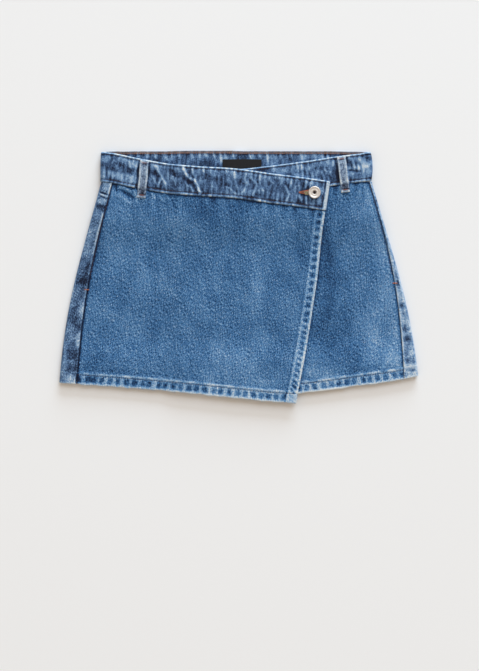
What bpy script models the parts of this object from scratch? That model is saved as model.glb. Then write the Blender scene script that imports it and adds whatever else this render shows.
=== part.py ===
"""A denim wrap skort, buttoned and laid flat on its back.

Seen from above, +Y points to the waist and +X to the right, and the cloth rests on Z = 0.
The shorts' back panels lie on the surface. They fold up round both sides and come back over
the front as narrow strips, to the side seams. On them lie the shorts' fronts, the pocket
bags, the underlap panel from the right and the overlap panel from the left. One waistband
runs from the buttoned end, round the left side, across the back and round the right side to
its other end, under the overlap. All sizes are in metres.
"""

import math
from collections import namedtuple

import bmesh
import bpy
import numpy as np

# Cloth
DENIM = 0.0010  # one layer
FOLDED = 0.0020  # a turned and pressed edge
FOLD_STEP = 0.0006  # the width over which one layer becomes a turned edge
HEM_DEPTH = 0.0140
SEAM_GAP = 0.0003
BAND_HEIGHT = 0.0387
BAND_THICKNESS = 0.0026
BAND_SOFTENING = 0.0007
LOOP_WIDTH = 0.0114
LOOP_THICKNESS = 0.0014
LOOP_RISE = 0.0006  # how far a front loop's middle stands off the waistband
LOOP_DROP = 0.0007  # how far it drops from the waistband to the panel
LOOP_TACK = 0.0035  # how far in from a loop's end its tack is

# The sides, from the waist seam to the hem: where the back panel folds and where it meets
# the front. Each is a straight line with a hip bulge on it. corner_y is the hem's corner.
Side = namedtuple("Side", "sign fold_waist fold_hem fold_bulge seam_waist seam_hem seam_bulge corner_y")
LEFT = Side(-1, 0.1887, 0.2462, 0.0085, 0.1737, 0.2232, 0.0085, -0.1452)
RIGHT = Side(+1, 0.1822, 0.2462, 0.0078, 0.1802, 0.2268, 0.0086, -0.1362)
SHORTS_INSET = 0.0024  # how far inside the side seam the shorts' fronts end
POCKET_INSET = 0.0034

# The height of each layer's upper face at the waist seam, over the body and at the hem.
# The back panels' row gives their lower face.
Layer = namedtuple("Layer", "waist body hem")
BACK = Layer(0.0026, 0.0000, 0.0000)
SHORTS = Layer(0.0053, 0.0025, 0.0044)
POCKET = Layer(0.0067, 0.0039, 0.0039)
UNDER = Layer(0.0081, 0.0053, 0.0068)
OVER = Layer(0.0110, 0.0078, 0.0092)
WAIST_RISE = (0.030, 0.090)  # the layers rise to the waistband between these two heights
HEM_RISE = (-0.080, -0.122)  # and to the hems between these
STEP_UP = (-0.110, -0.074)  # where the overlap climbs onto the underlap, left to right

# The waistband's centre line (x, y), left to right, and its height on each run
WAIST_SEAM_GAP = 0.0005
OVERLAP_BAND = ((-0.186, 0.1504), (-0.170, 0.1487), (-0.145, 0.1434), (-0.098, 0.1350), (-0.054, 0.1311),
                (-0.005, 0.1281), (0.045, 0.1212), (0.086, 0.1161), (0.1222, 0.1108))
UNDERLAP_BAND = ((-0.060, 0.1225), (0.020, 0.1294), (0.099, 0.1394), (0.147, 0.1470), (0.179, 0.1503))
BACK_BAND = ((-0.186, 0.1504), (-0.165, 0.1528), (-0.120, 0.1537), (0.120, 0.1537), (0.160, 0.1526),
             (0.179, 0.1503))
BAND_FOLD_LEFT = -0.1898
BAND_FOLD_RIGHT = 0.1836
BACK_BAND_Z = 0.0031
UNDER_BAND_Z = 0.0075
OVER_BAND_Z = 0.0105

# The front panels' free edges, and their hems (x, y) from left to right
FLAP_TOP_X = 0.1176
FLAP_HEM_X = 0.0797
FLAP_FACING = 0.0135
UNDERLAP_EDGE_X = -0.060
FRONT_LENGTH = 0.262
OVERLAP_HEM = ((-0.2462, -0.1452), (-0.1065, -0.1556), (0.0020, -0.1660), (0.0797, -0.1733))
UNDERLAP_HEM = ((-0.0600, -0.1575), (0.0100, -0.1603), (0.0811, -0.1596), (0.1757, -0.1470),
                (0.2462, -0.1362))

# The shorts' legs
CROTCH_Y = -0.097
INSEAM_HEM_Y = -0.150
INSEAM_SPLAY = 0.012

# A pocket bag: how far it reaches in from the side seam, at each drop below the waist seam
Bag = namedtuple("Bag", "drop reach")
POCKET_BAG = (Bag(0.004, 0.058), Bag(0.030, 0.064), Bag(0.065, 0.100), Bag(0.120, 0.116),
              Bag(0.155, 0.106), Bag(0.175, 0.084), Bag(0.186, 0.050))

# Belt loops: the middle of each end, as seen from above. The back ones lie underneath.
Loop = namedtuple("Loop", "name top_x top_y bottom_x bottom_y underneath")
LOOPS = (
    Loop("belt_loop_front_left", -0.1291, 0.1593, -0.1332, 0.1083, False),
    Loop("belt_loop_front_right", 0.1404, 0.1650, 0.1464, 0.1157, False),
    Loop("belt_loop_back_left", -0.1155, 0.1715, -0.1155, 0.1210, True),
    Loop("belt_loop_back_centre", 0.0030, 0.1715, 0.0030, 0.1210, True),
    Loop("belt_loop_back_right", 0.1386, 0.1715, 0.1386, 0.1210, True),
)

# Label, on the inside of the back waistband
LABEL_X = 0.0045
LABEL_Y = 0.1535
LABEL_WIDTH = 0.0534
LABEL_HEIGHT = 0.0150
LABEL_THICKNESS = 0.0010

# Button, tack and buttonhole. A turned profile's heights count from the cap's foot.
BUTTON_X = 0.1036
BUTTON_Y = 0.1153
BUTTONHOLE_REACH = 0.0212  # from the button's centre to the hole's pointed end
BUTTONHOLE_EYE = 0.0027
STEM_RADIUS = 0.0019
STEM_TIP = 0.0006
TACK_RADIUS = 0.0044
TACK_THICKNESS = 0.0009
ROUND_STEPS = 28
Turn = namedtuple("Turn", "radius height")
CAP_PROFILE = (Turn(0.0022, 0.0000), Turn(0.0022, 0.0005), Turn(0.0028, 0.0005), Turn(0.0028, 0.0015),
               Turn(0.0033, 0.0020), Turn(0.0046, 0.0019), Turn(0.0060, 0.0020), Turn(0.0070, 0.0026),
               Turn(0.0079, 0.0025), Turn(0.0085, 0.0017), Turn(0.0085, 0.0008), Turn(0.0076, 0.0000))

DENIM_BLUE = (0.062, 0.145, 0.285)
DENIM_PALE = (0.160, 0.260, 0.390)
POCKETING = (0.620, 0.600, 0.550)
LABEL_BLACK = (0.015, 0.014, 0.014)
BUTTON_METAL = (0.660, 0.560, 0.470)


def clear_scene():
    for thing in list(bpy.data.objects):
        bpy.data.objects.remove(thing, do_unlink=True)


def finish(name, colour, roughness, metallic=0.0):
    material = bpy.data.materials.new(name)
    material.use_nodes = True
    shader = material.node_tree.nodes["Principled BSDF"]
    shader.inputs["Base Color"].default_value = (*colour, 1.0)
    shader.inputs["Roughness"].default_value = roughness
    shader.inputs["Metallic"].default_value = metallic
    return material


def mix(a, b, share):
    return a + (b - a) * share


def ease(start, end, value):
    """0 before start, 1 after end, and a smooth S between them. end may be below start."""
    share = min(1.0, max(0.0, (value - start) / (end - start)))
    return share * share * (3.0 - 2.0 * share)


def along(points, x):
    """The height at x of the smooth curve through points, left to right. It ends level."""
    last = len(points) - 1
    slopes = []
    for i in range(last + 1):
        before, after = points[max(i - 1, 0)], points[min(i + 1, last)]
        slopes.append((after[1] - before[1]) / (after[0] - before[0]))
    x = min(max(x, points[0][0]), points[last][0])
    i = next(k for k in range(last) if x <= points[k + 1][0])
    (x0, y0), (x1, y1) = points[i], points[i + 1]
    width = x1 - x0
    s = (x - x0) / width
    ends = mix(y0, y1, s * s * (3 - 2 * s))
    return ends + width * s * (1 - s) * (slopes[i] * (1 - s) - slopes[i + 1] * s)


def slope_of(points, x):
    step = 0.001
    return (along(points, x + step) - along(points, x - step)) / (2 * step)


def band_edge(band, x):
    """Where the panels' top edges lie, just under the waistband's lower edge."""
    lean = math.hypot(1.0, slope_of(band, x))
    return along(band, x) - 0.5 * BAND_HEIGHT * lean - WAIST_SEAM_GAP


def level(layer, y):
    """The height of a layer at y. It rises to the waistband and to the hem."""
    to_waist = (layer.waist - layer.body) * ease(*WAIST_RISE, y)
    to_hem = (layer.hem - layer.body) * ease(*HEM_RISE, y)
    return layer.body + to_waist + to_hem


def fold_x(side, share):
    """Where the back panel folds, at a share of the way from the waist seam to the hem."""
    return mix(side.fold_waist, side.fold_hem, share) + side.fold_bulge * math.sin(math.pi * share)


def seam_x(side, share):
    """Where the side seam lies on the front."""
    return mix(side.seam_waist, side.seam_hem, share) + side.seam_bulge * math.sin(math.pi * share)


def front_top(side, x):
    return band_edge(OVERLAP_BAND if side is LEFT else UNDERLAP_BAND, x)


def front_hem(side, x):
    return along(OVERLAP_HEM if side is LEFT else UNDERLAP_HEM, x)


def solid(name, shape, material):
    """An object made from a closed bmesh, its faces turned outwards."""
    bmesh.ops.recalc_face_normals(shape, faces=shape.faces)
    mesh = bpy.data.meshes.new(name)
    shape.to_mesh(mesh)
    shape.free()
    mesh.materials.append(material)
    thing = bpy.data.objects.new(name, mesh)
    bpy.context.scene.collection.objects.link(thing)
    return thing


def wall(name, upper, lower, material):
    """A closed wall between two grids of points, rows by columns, with a rim all round."""
    rows, columns = len(upper), len(upper[0])
    shape = bmesh.new()
    faces = []
    for grid in (upper, lower):
        verts = [[shape.verts.new(point) for point in row] for row in grid]
        for r in range(rows - 1):
            for c in range(columns - 1):
                shape.faces.new((verts[r][c], verts[r][c + 1], verts[r + 1][c + 1], verts[r + 1][c]))
        faces.append(verts)
    rim = [(0, c) for c in range(columns)]
    rim += [(r, columns - 1) for r in range(1, rows)]
    rim += [(rows - 1, c) for c in range(columns - 2, -1, -1)]
    rim += [(r, 0) for r in range(rows - 2, 0, -1)]
    for (r0, c0), (r1, c1) in zip(rim, rim[1:] + rim[:1]):
        shape.faces.new((faces[0][r0][c0], faces[0][r1][c1], faces[1][r1][c1], faces[1][r0][c0]))
    return solid(name, shape, material)


def sheet(name, rows, height, material):
    """A wall from rows of (x, y, thickness) places. Its upper face is at height(x, y)."""
    upper = [[(x, y, height(x, y)) for x, y, _ in row] for row in rows]
    lower = [[(x, y, height(x, y) - thickness) for x, y, thickness in row] for row in rows]
    return wall(name, upper, lower, material)


def prism(name, outline, low, high, material):
    """An upright solid over a flat outline."""
    shape = bmesh.new()
    base = shape.faces.new([shape.verts.new((x, y, low)) for x, y in outline])
    raised = bmesh.ops.extrude_face_region(shape, geom=[base])
    tops = [v for v in raised["geom"] if isinstance(v, bmesh.types.BMVert)]
    bmesh.ops.translate(shape, verts=tops, vec=(0.0, 0.0, high - low))
    return solid(name, shape, material)


def cut(thing, cutter):
    """Takes the cutter's shape out of a solid. The cutter itself is no part of the skort."""
    cutter.hide_render = True
    cutter.display_type = "WIRE"
    hole = thing.modifiers.new(cutter.name, "BOOLEAN")
    hole.operation = "DIFFERENCE"
    hole.solver = "EXACT"
    hole.object = cutter


def shares_to_hem(count, length):
    """Shares of the way down a panel, with a row on each side of the hem's upper edge."""
    hem = 1.0 - HEM_DEPTH / length
    return [*np.linspace(0.0, hem, count), hem + FOLD_STEP / length, mix(hem, 1.0, 0.55), 1.0]


def shares_to_leg_hem(top, side):
    """The same for a leg, with a row at the crotch, and the leg panel's length."""
    length = top - 0.5 * (INSEAM_HEM_Y + side.corner_y)
    crotch = (top - CROTCH_Y) / (top - INSEAM_HEM_Y)
    below = [share for share in shares_to_hem(18, length) if share > crotch + 0.02]
    return [*np.linspace(0.0, crotch, 15), *below], length


def thickness_at(share, length):
    """One layer of denim, and a turned edge below the hem's upper edge."""
    return FOLDED if share > 1.0 - (HEM_DEPTH - 0.5 * FOLD_STEP) / length else DENIM


def inseam_x(top, share):
    """The centre seam down to the crotch, and the leg's inseam below it."""
    y = mix(top, INSEAM_HEM_Y, share)
    return 0.5 * SEAM_GAP + INSEAM_SPLAY * max(0.0, (CROTCH_Y - y) / (CROTCH_Y - INSEAM_HEM_Y))


def leg_hem(side, x):
    """The shorts' hem, from the side's corner to the inseam."""
    return mix(INSEAM_HEM_Y, side.corner_y, (abs(x) - INSEAM_SPLAY) / (side.fold_hem - INSEAM_SPLAY))


def back_panel(name, side, material):
    """A shorts back, flat on the surface. It folds up at the side and over to the side seam."""
    flat_columns, fold_steps, strip_columns = 8, 7, 3
    top = band_edge(BACK_BAND, 0.0)
    shares, length = shares_to_leg_hem(top, side)
    outer, inner = [], []
    for share in shares:
        row_y = mix(top, side.corner_y, share)
        low = level(BACK, row_y)
        radius = 0.5 * (level(UNDER, row_y) - low)
        turn_x = fold_x(side, share) - radius
        seam = min(seam_x(side, share), turn_x - SEAM_GAP)
        # Each column is (distance from the middle, how far over the fold, angle on the fold).
        flat = [(x, 0.0, -90.0) for x in np.linspace(inseam_x(top, share), turn_x, flat_columns + 1)[:-1]]
        fold = [(turn_x, k / fold_steps, mix(-90.0, 90.0, k / fold_steps)) for k in range(fold_steps + 1)]
        strip = [(mix(turn_x, seam, k / strip_columns), 1.0, 90.0) for k in range(1, strip_columns + 1)]
        for grid, reach in ((outer, radius), (inner, radius - thickness_at(share, length))):
            points = []
            for distance, over, angle in flat + fold + strip:
                x = side.sign * (distance + reach * math.cos(math.radians(angle)))
                back_y = mix(band_edge(BACK_BAND, x), leg_hem(side, x), share)
                front_y = mix(front_top(side, x), front_hem(side, x), share)
                z = low + radius + reach * math.sin(math.radians(angle))
                points.append((x, mix(back_y, front_y, over), z))
            grid.append(points)
    return wall(name, outer, inner, material)


def shorts_front(name, side, material):
    """A shorts front, from the centre seam and the inseam to the side seam."""
    columns = 8
    top = front_top(side, 0.0)
    shares, length = shares_to_leg_hem(top, side)
    rows = []
    for share in shares:
        across = side.sign * np.linspace(inseam_x(top, share), seam_x(side, share) - SHORTS_INSET, columns)
        thickness = thickness_at(share, length)
        rows.append([(x, mix(front_top(side, x), leg_hem(side, x), share), thickness) for x in across])
    return sheet(name, rows, lambda x, y: level(SHORTS, y), material)


def pocket_bag(name, side, material):
    """A flat bag that hangs inside the side seam from the waist seam, with a rounded end."""
    columns = 6
    rows = []
    for drop in np.linspace(POCKET_BAG[0].drop, POCKET_BAG[-1].drop, 13):
        outside = seam_x(side, drop / FRONT_LENGTH) - POCKET_INSET
        across = side.sign * np.linspace(outside, outside - along(POCKET_BAG, drop), columns)
        rows.append([(x, front_top(side, x) - drop, DENIM) for x in across])
    return sheet(name, rows, lambda x, y: level(POCKET, y), material)


def underlap_panel(name, material):
    """The right front of the skirt. It runs on under the overlap, to a plain edge."""
    columns = 14
    rows = []
    for share in shares_to_hem(17, FRONT_LENGTH):
        turn_x = fold_x(RIGHT, share) - 0.5 * (UNDER.body - BACK.body)
        seam = min(seam_x(RIGHT, share), turn_x - SEAM_GAP) - 2 * SEAM_GAP
        thickness = thickness_at(share, FRONT_LENGTH)
        across = np.linspace(UNDERLAP_EDGE_X, seam, columns)
        rows.append([(x, mix(front_top(RIGHT, x), front_hem(RIGHT, x), share), thickness) for x in across])
    return sheet(name, rows, lambda x, y: level(UNDER, y), material)


def overlap_level(x, y):
    """The overlap lies low at the left, and on the underlap from STEP_UP to the right."""
    return mix(level(UNDER, y), level(OVER, y), ease(*STEP_UP, x))


def overlap_panel(name, material):
    """The left front of the skirt, across to the flap's edge, which is turned under."""
    columns = 18
    rows = []
    for share in shares_to_hem(17, FRONT_LENGTH):
        left = -seam_x(LEFT, share) + SEAM_GAP
        right = mix(FLAP_TOP_X, FLAP_HEM_X, share)
        facing = right - FLAP_FACING
        row = []
        for x in [*np.linspace(left, facing, columns), facing + FOLD_STEP, right]:
            y = mix(front_top(LEFT, x), front_hem(LEFT, x), share)
            row.append((x, y, FOLDED if x > facing else thickness_at(share, FRONT_LENGTH)))
        rows.append(row)
    return sheet(name, rows, overlap_level, material)


def side_turn(edge_x, y, z_from, z_to):
    """Places round the half circle by which the waistband turns a side, its outer face at edge_x."""
    steps = 7
    radius = 0.5 * abs(z_from - z_to)
    outwards = math.copysign(1.0, edge_x)
    middle_x = edge_x - outwards * (radius + 0.5 * BAND_THICKNESS)
    angles = [math.pi * k / steps for k in range(steps + 1)]
    return [
        (middle_x + outwards * radius * math.sin(angle), y, mix(z_from, z_to, 0.5 - 0.5 * math.cos(angle)))
        for angle in angles
    ]


def band_route():
    """Places along the waistband's centre line, from the buttoned end to the underlap's end."""
    left, right = BACK_BAND[0][0], BACK_BAND[-1][0]
    overlap = [
        (x, along(OVERLAP_BAND, x), mix(UNDER_BAND_Z, OVER_BAND_Z, ease(*STEP_UP, x)))
        for x in np.linspace(OVERLAP_BAND[-1][0], left, 26)[:-1]
    ]
    left_turn = side_turn(BAND_FOLD_LEFT, BACK_BAND[0][1], UNDER_BAND_Z, BACK_BAND_Z)
    back = [(x, along(BACK_BAND, x), BACK_BAND_Z) for x in np.linspace(left, right, 26)[1:-1]]
    right_turn = side_turn(BAND_FOLD_RIGHT, BACK_BAND[-1][1], BACK_BAND_Z, UNDER_BAND_Z)
    underlap = [
        (x, along(UNDERLAP_BAND, x), UNDER_BAND_Z) for x in np.linspace(right, UNDERLAP_BAND[0][0], 20)[1:]
    ]
    return [np.array(place) for place in overlap + left_turn + back + right_turn + underlap]


def waistband(material):
    """One folded strip with softened long edges, carried along its route."""
    high, thick, soft = 0.5 * BAND_HEIGHT, 0.5 * BAND_THICKNESS, BAND_SOFTENING
    section = ((-high, soft - thick), (soft - high, -thick), (high - soft, -thick), (high, soft - thick),
               (high, thick - soft), (high - soft, thick), (soft - high, thick), (-high, thick - soft))
    places = band_route()
    shape = bmesh.new()
    rings = []
    for i, place in enumerate(places):
        run = places[min(i + 1, len(places) - 1)] - places[max(i - 1, 0)]
        run = run / np.linalg.norm(run)
        upwards = np.array((0.0, 1.0, 0.0)) - run[1] * run
        upwards = upwards / np.linalg.norm(upwards)
        outwards = np.cross(upwards, run)
        rings.append([shape.verts.new(place + a * upwards + b * outwards) for a, b in section])
    for ring, following in zip(rings, rings[1:]):
        for k in range(len(section)):
            n = (k + 1) % len(section)
            shape.faces.new((ring[k], ring[n], following[n], following[k]))
    shape.faces.new(rings[0])
    shape.faces.new(rings[-1])
    return solid("waistband", shape, material)


def belt_loop(row, material):
    """A narrow strip on the waistband. A front one drops past the band's edge to the panel."""
    top, bottom = np.array((row.top_x, row.top_y)), np.array((row.bottom_x, row.bottom_y))
    length = np.linalg.norm(bottom - top)
    run = (bottom - top) / length
    across = 0.5 * LOOP_WIDTH * np.array((-run[1], run[0]))
    # Each station is (distance from the top, height over the band's face).
    stations = [(0.0, 0.0), (LOOP_TACK, 0.0), (0.5 * length, 0.0), (length - LOOP_TACK, 0.0), (length, 0.0)]
    base = 0.0
    if not row.underneath:
        stations = [(0.0, 0.0), (LOOP_TACK, 0.0), (3 * LOOP_TACK, 0.7 * LOOP_RISE),
                    (0.5 * BAND_HEIGHT, LOOP_RISE), (BAND_HEIGHT - LOOP_TACK, 0.7 * LOOP_RISE),
                    (BAND_HEIGHT, 0.0), (BAND_HEIGHT + LOOP_TACK, -LOOP_DROP),
                    (length - LOOP_TACK, -LOOP_DROP), (length, -LOOP_DROP)]
        base = UNDER_BAND_Z + 0.5 * BAND_THICKNESS + SEAM_GAP
    upper, lower = [], []
    for distance, rise in stations:
        ends = [top + run * distance + side * across for side in (-1, 1)]
        lower.append([(x, y, base + rise) for x, y in ends])
        upper.append([(x, y, base + rise + LOOP_THICKNESS) for x, y in ends])
    return wall(row.name, upper, lower, material)


def label(material):
    """A plain woven label on the inside of the back waistband."""
    outline = [
        (LABEL_X + a * LABEL_WIDTH, LABEL_Y + b * LABEL_HEIGHT)
        for a, b in ((-0.5, -0.5), (0.5, -0.5), (0.5, 0.5), (-0.5, 0.5))
    ]
    low = BACK_BAND_Z + 0.5 * BAND_THICKNESS + SEAM_GAP
    return prism("label", outline, low, low + LABEL_THICKNESS, material)


def turned(name, profile, closed_ring, material):
    """A round solid spun about the button's axis from (radius, height) points."""
    shape = bmesh.new()
    verts = [shape.verts.new((BUTTON_X + radius, BUTTON_Y, height)) for radius, height in profile]
    edges = [shape.edges.new(pair) for pair in zip(verts, verts[1:])]
    if closed_ring:
        edges.append(shape.edges.new((verts[-1], verts[0])))
    bmesh.ops.spin(
        shape, geom=verts + edges, cent=(BUTTON_X, BUTTON_Y, 0.0), axis=(0.0, 0.0, 1.0),
        angle=2 * math.pi, steps=ROUND_STEPS, use_merge=True,
    )
    bmesh.ops.remove_doubles(shape, verts=shape.verts, dist=1e-6)
    thing = solid(name, shape, material)
    thing.data.shade_smooth()
    thing.data.set_sharp_from_angle(angle=math.radians(40))
    return thing


def button(material):
    """A ring-shaped cap on the overlap's band, and the tack that holds it from the underlap."""
    foot = OVER_BAND_Z + 0.5 * BAND_THICKNESS + SEAM_GAP
    turned("button_cap", [(turn.radius, foot + turn.height) for turn in CAP_PROFILE], True, material)
    high = UNDER.waist - DENIM - SEAM_GAP
    tack = [(0.0, high - TACK_THICKNESS), (TACK_RADIUS, high - TACK_THICKNESS), (TACK_RADIUS, high),
            (STEM_RADIUS, high), (STEM_RADIUS, foot + STEM_TIP), (0.0, foot + STEM_TIP)]
    turned("button_tack", tack, False, material)


def buttonhole_cutter(material):
    """A keyhole whose straight sides run from a point to a round eye, along the waistband."""
    lean = math.atan(slope_of(OVERLAP_BAND, BUTTON_X))
    tangent = math.pi - math.acos(BUTTONHOLE_EYE / BUTTONHOLE_REACH)
    outline = [(-BUTTONHOLE_REACH, 0.0)]
    for angle in np.linspace(-tangent, tangent, 11):
        outline.append((BUTTONHOLE_EYE * math.cos(angle), BUTTONHOLE_EYE * math.sin(angle)))
    along_band, up_band = (math.cos(lean), math.sin(lean)), (-math.sin(lean), math.cos(lean))
    placed = [
        (BUTTON_X + a * along_band[0] + b * up_band[0], BUTTON_Y + a * along_band[1] + b * up_band[1])
        for a, b in outline
    ]
    reach = 0.5 * BAND_THICKNESS + SEAM_GAP
    return prism("buttonhole_cutter", placed, OVER_BAND_Z - reach, OVER_BAND_Z + reach, material)


def stem_cutter(material):
    """The hole that the tack's stem makes in the underlap."""
    reach = STEM_RADIUS + 1.5 * SEAM_GAP
    turns = np.linspace(0.0, 2 * math.pi, 16, endpoint=False)
    outline = [(BUTTON_X + reach * math.cos(t), BUTTON_Y + reach * math.sin(t)) for t in turns]
    return prism("stem_cutter", outline, UNDER.waist - 2 * DENIM, UNDER.waist + DENIM, material)


clear_scene()
denim = finish("denim", DENIM_BLUE, 0.85)
denim_pale = finish("denim_pale", DENIM_PALE, 0.85)
pocketing = finish("pocketing", POCKETING, 0.90)
button_metal = finish("button_metal", BUTTON_METAL, 0.35, 1.0)

back_panel("back_left", LEFT, denim)
back_panel("back_right", RIGHT, denim)
shorts_front("shorts_front_left", LEFT, denim)
shorts_front("shorts_front_right", RIGHT, denim)
pocket_bag("pocket_bag_left", LEFT, pocketing)
pocket_bag("pocket_bag_right", RIGHT, pocketing)
cut(underlap_panel("front_underlap", denim), stem_cutter(button_metal))
overlap_panel("front_overlap", denim)
cut(waistband(denim), buttonhole_cutter(button_metal))
for loop in LOOPS:
    belt_loop(loop, denim_pale)
label(finish("label_black", LABEL_BLACK, 0.70))
button(button_metal)
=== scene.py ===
"""The look of a denim wrap skort, buttoned and laid flat on a pale floor.

Seen from above, +Y points to the waist and +X to the right, and the cloth rests on Z = 0.
Shapes are in metres. Tables of creases, patches and distances from an edge are in millimetres.
"""

import math
from collections import namedtuple

import bpy
import numpy as np
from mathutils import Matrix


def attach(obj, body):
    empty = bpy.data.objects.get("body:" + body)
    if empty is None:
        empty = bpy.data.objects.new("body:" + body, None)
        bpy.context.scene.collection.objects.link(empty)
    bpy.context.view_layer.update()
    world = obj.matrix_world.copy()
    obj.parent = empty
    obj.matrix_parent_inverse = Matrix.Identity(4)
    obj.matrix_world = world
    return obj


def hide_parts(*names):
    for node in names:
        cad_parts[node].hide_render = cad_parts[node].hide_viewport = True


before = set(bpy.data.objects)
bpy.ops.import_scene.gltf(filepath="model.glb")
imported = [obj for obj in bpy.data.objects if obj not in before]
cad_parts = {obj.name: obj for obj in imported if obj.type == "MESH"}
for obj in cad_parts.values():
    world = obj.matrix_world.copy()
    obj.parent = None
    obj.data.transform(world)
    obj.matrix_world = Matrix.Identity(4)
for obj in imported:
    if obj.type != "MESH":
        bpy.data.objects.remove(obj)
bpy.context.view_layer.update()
MM = 0.001

# ---------------------------------------------------------------------------------------
# The stage: a pale floor, a camera straight above and soft studio light from the waist side.
# A warm even fill comes from all round, and two slightly cool lamps throw the soft shadow.
VIEW_MIDDLE = (0.0010, -0.0804)
VIEW_HEIGHT = 0.919
LENS, SENSOR = 100.0, 36.0
CLOTH_TOP = 0.008
FLOOR_COLOUR = (0.878, 0.878, 0.880)
FLOOR_HALF, FLOOR_Z = 14.0, -0.0005
BACKDROP_COLOUR = (0.84, 0.84, 0.84)
FILL_COLOUR = (1.00, 0.835, 0.67)
FILL_LEVEL = 0.58
Lamp = namedtuple("Lamp", "name turn rise distance wide tall level colour")
LAMPS = (
    Lamp("lamp_high", 24.0, 46.0, 13.0, 8.4, 7.8, 0.325, (0.69, 0.85, 1.00)),
    Lamp("lamp_low", 12.0, 14.0, 13.0, 9.2, 4.6, 0.30, (0.69, 0.85, 1.00)),
)


def material_of(name, roughness, specular):
    """A new material, its nodes, a way to link two sockets, and its Principled shader."""
    material = bpy.data.materials.new(name)
    material.use_nodes = True
    nodes, link = material.node_tree.nodes, material.node_tree.links.new
    shader = nodes["Principled BSDF"]
    shader.inputs["Roughness"].default_value = roughness
    shader.inputs["Specular IOR Level"].default_value = specular
    return material, nodes, link, shader


def node_of(nodes, kind, inputs=(), **settings):
    """A shader node of that kind, with its settings made and its named inputs given values."""
    node = nodes.new(f"ShaderNode{kind}")
    for name, value in settings.items():
        setattr(node, name, value)
    for name, value in dict(inputs).items():
        node.inputs[name].default_value = value
    return node


def piece_of(name, mesh, material):
    """A mesh as an object at the origin, smooth and in one material."""
    mesh.materials.append(material)
    mesh.shade_smooth()
    piece = bpy.data.objects.new(name, mesh)
    bpy.context.scene.collection.objects.link(piece)
    return piece


def set_camera():
    """A long lens above the middle of the view, at the distance that gives VIEW_HEIGHT."""
    data = bpy.data.cameras.new("camera")
    data.lens, data.sensor_width = LENS, SENSOR
    camera = bpy.data.objects.new("camera", data)
    camera.location = (*VIEW_MIDDLE, CLOTH_TOP + VIEW_HEIGHT * LENS / SENSOR)
    bpy.context.scene.collection.objects.link(camera)
    bpy.context.scene.camera = camera


def set_floor():
    """A flat square, just under the stitches of the garment's underside."""
    material, _, _, shader = material_of("floor_paper", 0.9, 0.1)
    shader.inputs["Base Color"].default_value = (*FLOOR_COLOUR, 1.0)
    corners = [(FLOOR_HALF * x, FLOOR_HALF * y, FLOOR_Z) for x, y in ((-1, -1), (1, -1), (1, 1), (-1, 1))]
    mesh = bpy.data.meshes.new("floor")
    mesh.from_pydata(corners, [], [(0, 1, 2, 3)])
    piece_of("floor", mesh, material)


def set_lamp(row):
    """An area lamp whose power gives its level: power = level x (pi x distance)^2 / sin(rise)."""
    turn, rise = math.radians(row.turn), math.radians(row.rise)
    flat = row.distance * math.cos(rise)
    data = bpy.data.lights.new(row.name, "AREA")
    data.shape = "RECTANGLE"
    data.size, data.size_y = row.wide, row.tall
    data.energy = row.level * (math.pi * row.distance) ** 2 / math.sin(rise)
    data.color = row.colour
    lamp = bpy.data.objects.new(row.name, data)
    lamp.location = (flat * math.sin(turn), flat * math.cos(turn), row.distance * math.sin(rise))
    lamp.rotation_euler = (math.pi / 2 - rise, 0.0, math.pi - turn)
    lamp.visible_camera = False
    bpy.context.scene.collection.objects.link(lamp)


def set_fill():
    """An even fill on the object, and a plain pale grey for the eye and in mirrors."""
    world = bpy.data.worlds.new("studio")
    bpy.context.scene.world = world
    world.use_nodes = True
    nodes, link = world.node_tree.nodes, world.node_tree.links.new
    fill = nodes["Background"]
    fill.inputs["Color"].default_value = (*FILL_COLOUR, 1.0)
    fill.inputs["Strength"].default_value = FILL_LEVEL
    plain = node_of(nodes, "Background", {"Color": (*BACKDROP_COLOUR, 1.0)})
    path, mixer = node_of(nodes, "LightPath"), node_of(nodes, "MixShader")
    either = node_of(nodes, "Math", operation="MAXIMUM")
    link(path.outputs["Is Camera Ray"], either.inputs[0])
    link(path.outputs["Is Glossy Ray"], either.inputs[1])
    link(either.outputs[0], mixer.inputs[0])
    link(fill.outputs[0], mixer.inputs[1])
    link(plain.outputs[0], mixer.inputs[2])
    link(mixer.outputs[0], nodes["World Output"].inputs["Surface"])


bpy.context.scene.view_settings.view_transform = "Standard"
set_camera()
set_floor()
for row in LAMPS:
    set_lamp(row)
set_fill()

# ---------------------------------------------------------------------------------------
# The shorts' backs: stone-washed denim, one panel a side, flat underneath. Each folds up at
# the side and comes back over the front as a narrow strip, to the side seam and its pocket.
DENIM = 0.0010
FOLDED = 0.0020
HEM_DEPTH = 13.0
SEAM_GAP = 0.0003
Side = namedtuple("Side", "sign fold_waist fold_hem fold_bulge seam_waist seam_hem seam_bulge corner_y")
LEFT = Side(-1, 0.1887, 0.2462, 0.0082, 0.1737, 0.2232, 0.0085, -0.1452)
RIGHT = Side(+1, 0.1822, 0.2462, 0.0074, 0.1802, 0.2268, 0.0102, -0.1362)
SIDES = ((LEFT, "left"), (RIGHT, "right"))
Layer = namedtuple("Layer", "waist body hem")
BACK = Layer(0.0026, 0.0000, 0.0000)
UNDER = Layer(0.0081, 0.0053, 0.0068)
WAIST_RISE = (0.030, 0.090)
HEM_RISE = (-0.080, -0.122)
BAND_HEIGHT = 0.0387
# How far the foot of the waistband's front stands beyond half its height, in millimetres
BAND_FOOT_OUT = 1.25
WAIST_SEAM_GAP = 0.0005
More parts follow.
